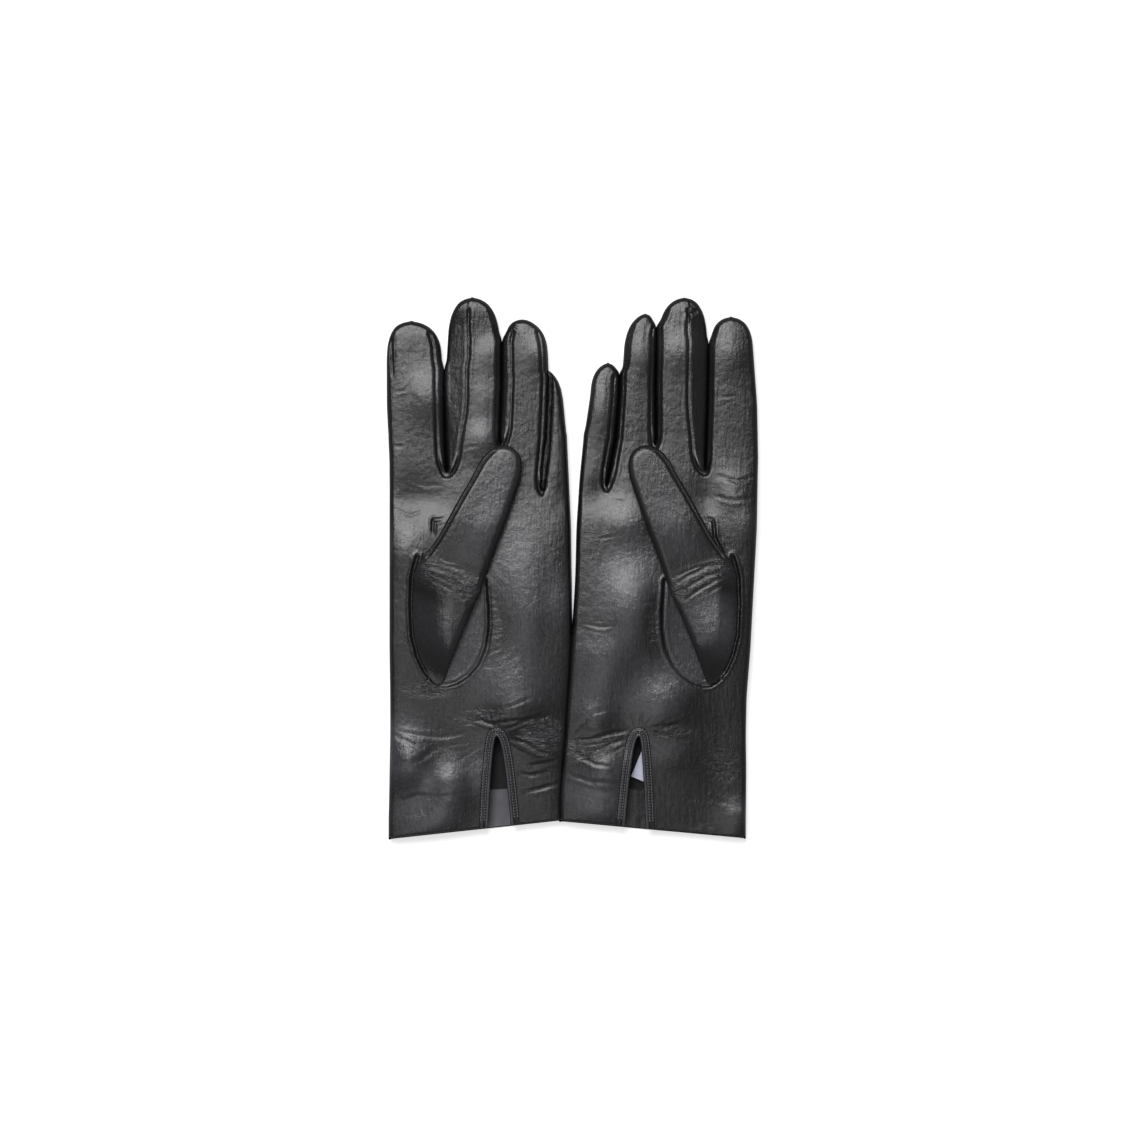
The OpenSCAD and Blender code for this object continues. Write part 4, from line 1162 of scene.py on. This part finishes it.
def stitches(name, rows, pitch):
    """One plain mesh of stitches laid along some rows of points in millimetres."""
    points = np.concatenate(rows)
    edges, count = [], 0
    for row in rows:
        edges += [(count + k, count + k + 1) for k in range(len(row) - 1)]
        count += len(row)
    mesh = bpy.data.meshes.new(name + "_rows")
    mesh.from_pydata((points * MM).tolist(), edges, [])
    obj = bpy.data.objects.new(name, mesh)
    bpy.context.scene.collection.objects.link(obj)
    tree = bpy.data.node_groups.get("stitches") or stitch_tree()
    modifier = obj.modifiers.new("stitches", "NODES")
    modifier.node_group = tree
    values = {"Pitch": pitch * MM, "Length": STITCH_LENGTH * MM, "Thickness": STITCH_THICKNESS * MM,
              "Slant": STITCH_SLANT, "Seed": 3, "Thread": material("sewing_silk")}
    for item in tree.interface.items_tree:
        if item.in_out == "INPUT" and item.name in values:
            modifier[item.identifier] = values[item.name]
    bpy.context.view_layer.update()
    done = bpy.data.meshes.new_from_object(obj.evaluated_get(bpy.context.evaluated_depsgraph_get()))
    if not len(done.polygons):
        raise RuntimeError(f"{name} came out empty")
    obj.modifiers.clear()
    obj.data = done
    done.polygons.foreach_set("material_index", [0] * len(done.polygons))
    done.materials.clear()
    done.materials.append(material("sewing_silk"))
    return obj


class GLOVES_OT_threads(bpy.types.Operator):
    """Sew the two rows of stitches round each vent"""
    bl_idname = "gloves.threads"
    bl_label = "Stitches"

    def execute(self, context):
        look = context.scene.glove_look
        for side in HANDS:
            h = hand(side)
            rows = [on_palm(h, along_vent(h, out)[2:-2], up) for out, up in STITCH_ROWS]
            piece = stitches(f"{side}_stitches", rows, look.stitch / MM)
            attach(piece, f"{side}_glove")
            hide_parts(f"{side}_vent_thread")
        return {"FINISHED"}


class GLOVES_OT_label(bpy.types.Operator):
    """Make the blank satin care label inside the right cuff"""
    bl_idname = "gloves.label"
    bl_label = "Care Label"

    def execute(self, context):
        h, skin = hand("right"), Skin()
        wide, long = LABEL
        u, v = np.meshgrid(np.linspace(0, wide, 19), np.linspace(0, long, 34))
        x = LABEL_CORNER[0] + u * math.cos(LABEL_TURN) - v * math.sin(LABEL_TURN)
        y = LABEL_CORNER[1] + u * math.sin(LABEL_TURN) + v * math.cos(LABEL_TURN)
        z = h.inner(x.ravel(), y.ravel(), False, LINING_INSET, 0).reshape(x.shape)
        z = z + 0.5 + 2.4 * np.exp(-(v / 9) ** 2) + 0.25 * np.sin(u * 0.5 + v * 0.12)
        skin.add(np.stack([x, y, z], 2), ["right_label"] * len(x), None)
        label = skin.piece(material("satin_ribbon"))
        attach(label, "right_glove")
        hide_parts("right_care_label")
        return {"FINISHED"}


# The label's width and length in millimetres, its turn in radians, and its lower left corner, which is the
# lowest part of it that shows in the vent.
LABEL, LABEL_TURN, LABEL_CORNER = (12.0, 22.0), -0.40, (27.3, -97.6)


class GLOVES_OT_stage(bpy.types.Operator):
    """Make the floor, the lights and the camera"""
    bl_idname = "gloves.stage"
    bl_label = "Stage"

    def execute(self, context):
        scene = context.scene
        scene.view_settings.view_transform = "Standard"
        scene.view_settings.look = "None"
        floor_material, t = new_material("floor")
        shader = node(t, "ShaderNodeBsdfPrincipled", None, Base_Color=(0.93, 0.93, 0.94, 1), Roughness=0.9,
                      Specular_IOR_Level=0.1, Emission_Color=(1, 1, 1, 1), Emission_Strength=0.55)
        node(t, "ShaderNodeOutputMaterial", None, Surface=shader.outputs[0])
        # three metres each way, just under the gloves
        corners = [(-3000, -3000, -0.3), (3000, -3000, -0.3), (3000, 3000, -0.3), (-3000, 3000, -0.3)]
        floor = build("floor", corners, [[0, 1, 2, 3]], floor_material)
        floor.visible_glossy = False
        floor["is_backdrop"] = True
        world = bpy.data.worlds.new("studio")
        world.use_nodes = True
        world.node_tree.nodes["Background"].inputs["Color"].default_value = (1, 1, 1, 1)
        world.node_tree.nodes["Background"].inputs["Strength"].default_value = 0.2
        scene.world = world

        for name, at, size, power in (("key", (-0.24, 0.55, 1.42), (0.75, 0.5), 14.2),
                                      ("fill", (-0.24, -0.44, 1.42), (0.5, 0.4), 1.7)):
            data = bpy.data.lights.new(name, "AREA")
            data.shape, data.size, data.size_y, data.energy = "RECTANGLE", size[0], size[1], power
            light = bpy.data.objects.new(name, data)
            scene.collection.objects.link(light)
            light.location = at
            light.rotation_euler = (-Vector(at)).to_track_quat("-Z", "Y").to_euler()

        data = bpy.data.cameras.new("camera")
        data.lens, data.sensor_width = 100, 36
        camera = bpy.data.objects.new("camera", data)
        scene.collection.objects.link(camera)
        lo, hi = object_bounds()
        camera.location = ((lo.x + hi.x) / 2 - 0.0046, (lo.y + hi.y) / 2 + 0.0028, 1.459)
        data.clip_end = 20
        scene.camera = camera
        return {"FINISHED"}


class GloveLook(bpy.types.PropertyGroup):
    """The sizes and colours of the gloves that may be changed."""
    leather: FloatVectorProperty(name="Leather", description="Colour of the leather, in sRGB",
                                 subtype="COLOR_GAMMA", default=(0.072, 0.072, 0.078), min=0, max=1)
    shine: FloatProperty(name="Shine", description="Roughness of the leather's glaze", default=0.27,
                         min=0.1, max=0.8)
    grain: FloatProperty(name="Grain", description="Strength of the leather's grain", default=1.0,
                         min=0, max=3)
    stitch: FloatProperty(name="Stitch", description="Pitch of the vents' stitching", default=0.0013,
                          unit="LENGTH", min=0.0008, max=0.004)
    seam_depth: FloatProperty(name="Seam Depth", description="Depth of the sewn seams", default=0.0010,
                              unit="LENGTH", min=0, max=0.003)


class GLOVES_PT_panel(bpy.types.Panel):
    """Lists the gloves' pieces"""
    bl_idname = "GLOVES_PT_panel"
    bl_label = "Dress Gloves"
    bl_space_type = "VIEW_3D"
    bl_region_type = "UI"
    bl_category = "Gloves"

    def draw(self, context):
        look = context.scene.glove_look
        for name in look.__annotations__:
            self.layout.prop(look, name)
        for operator in PIECES:
            self.layout.operator(operator.bl_idname)


PIECES = (GLOVES_OT_hands, GLOVES_OT_thumbs, GLOVES_OT_cuffs, GLOVES_OT_threads, GLOVES_OT_label,
          GLOVES_OT_stage)
CLASSES = (GloveLook, *PIECES, GLOVES_PT_panel)


def register():
    for cls in CLASSES:
        bpy.utils.register_class(cls)
    bpy.types.Scene.glove_look = PointerProperty(type=GloveLook)


def unregister():
    del bpy.types.Scene.glove_look
    for cls in reversed(CLASSES):
        bpy.utils.unregister_class(cls)


def main():
    register()
    for operator in PIECES:
        group, name = operator.bl_idname.split(".")
        getattr(getattr(bpy.ops, group), name)()


if __name__ == "__main__":
    main()
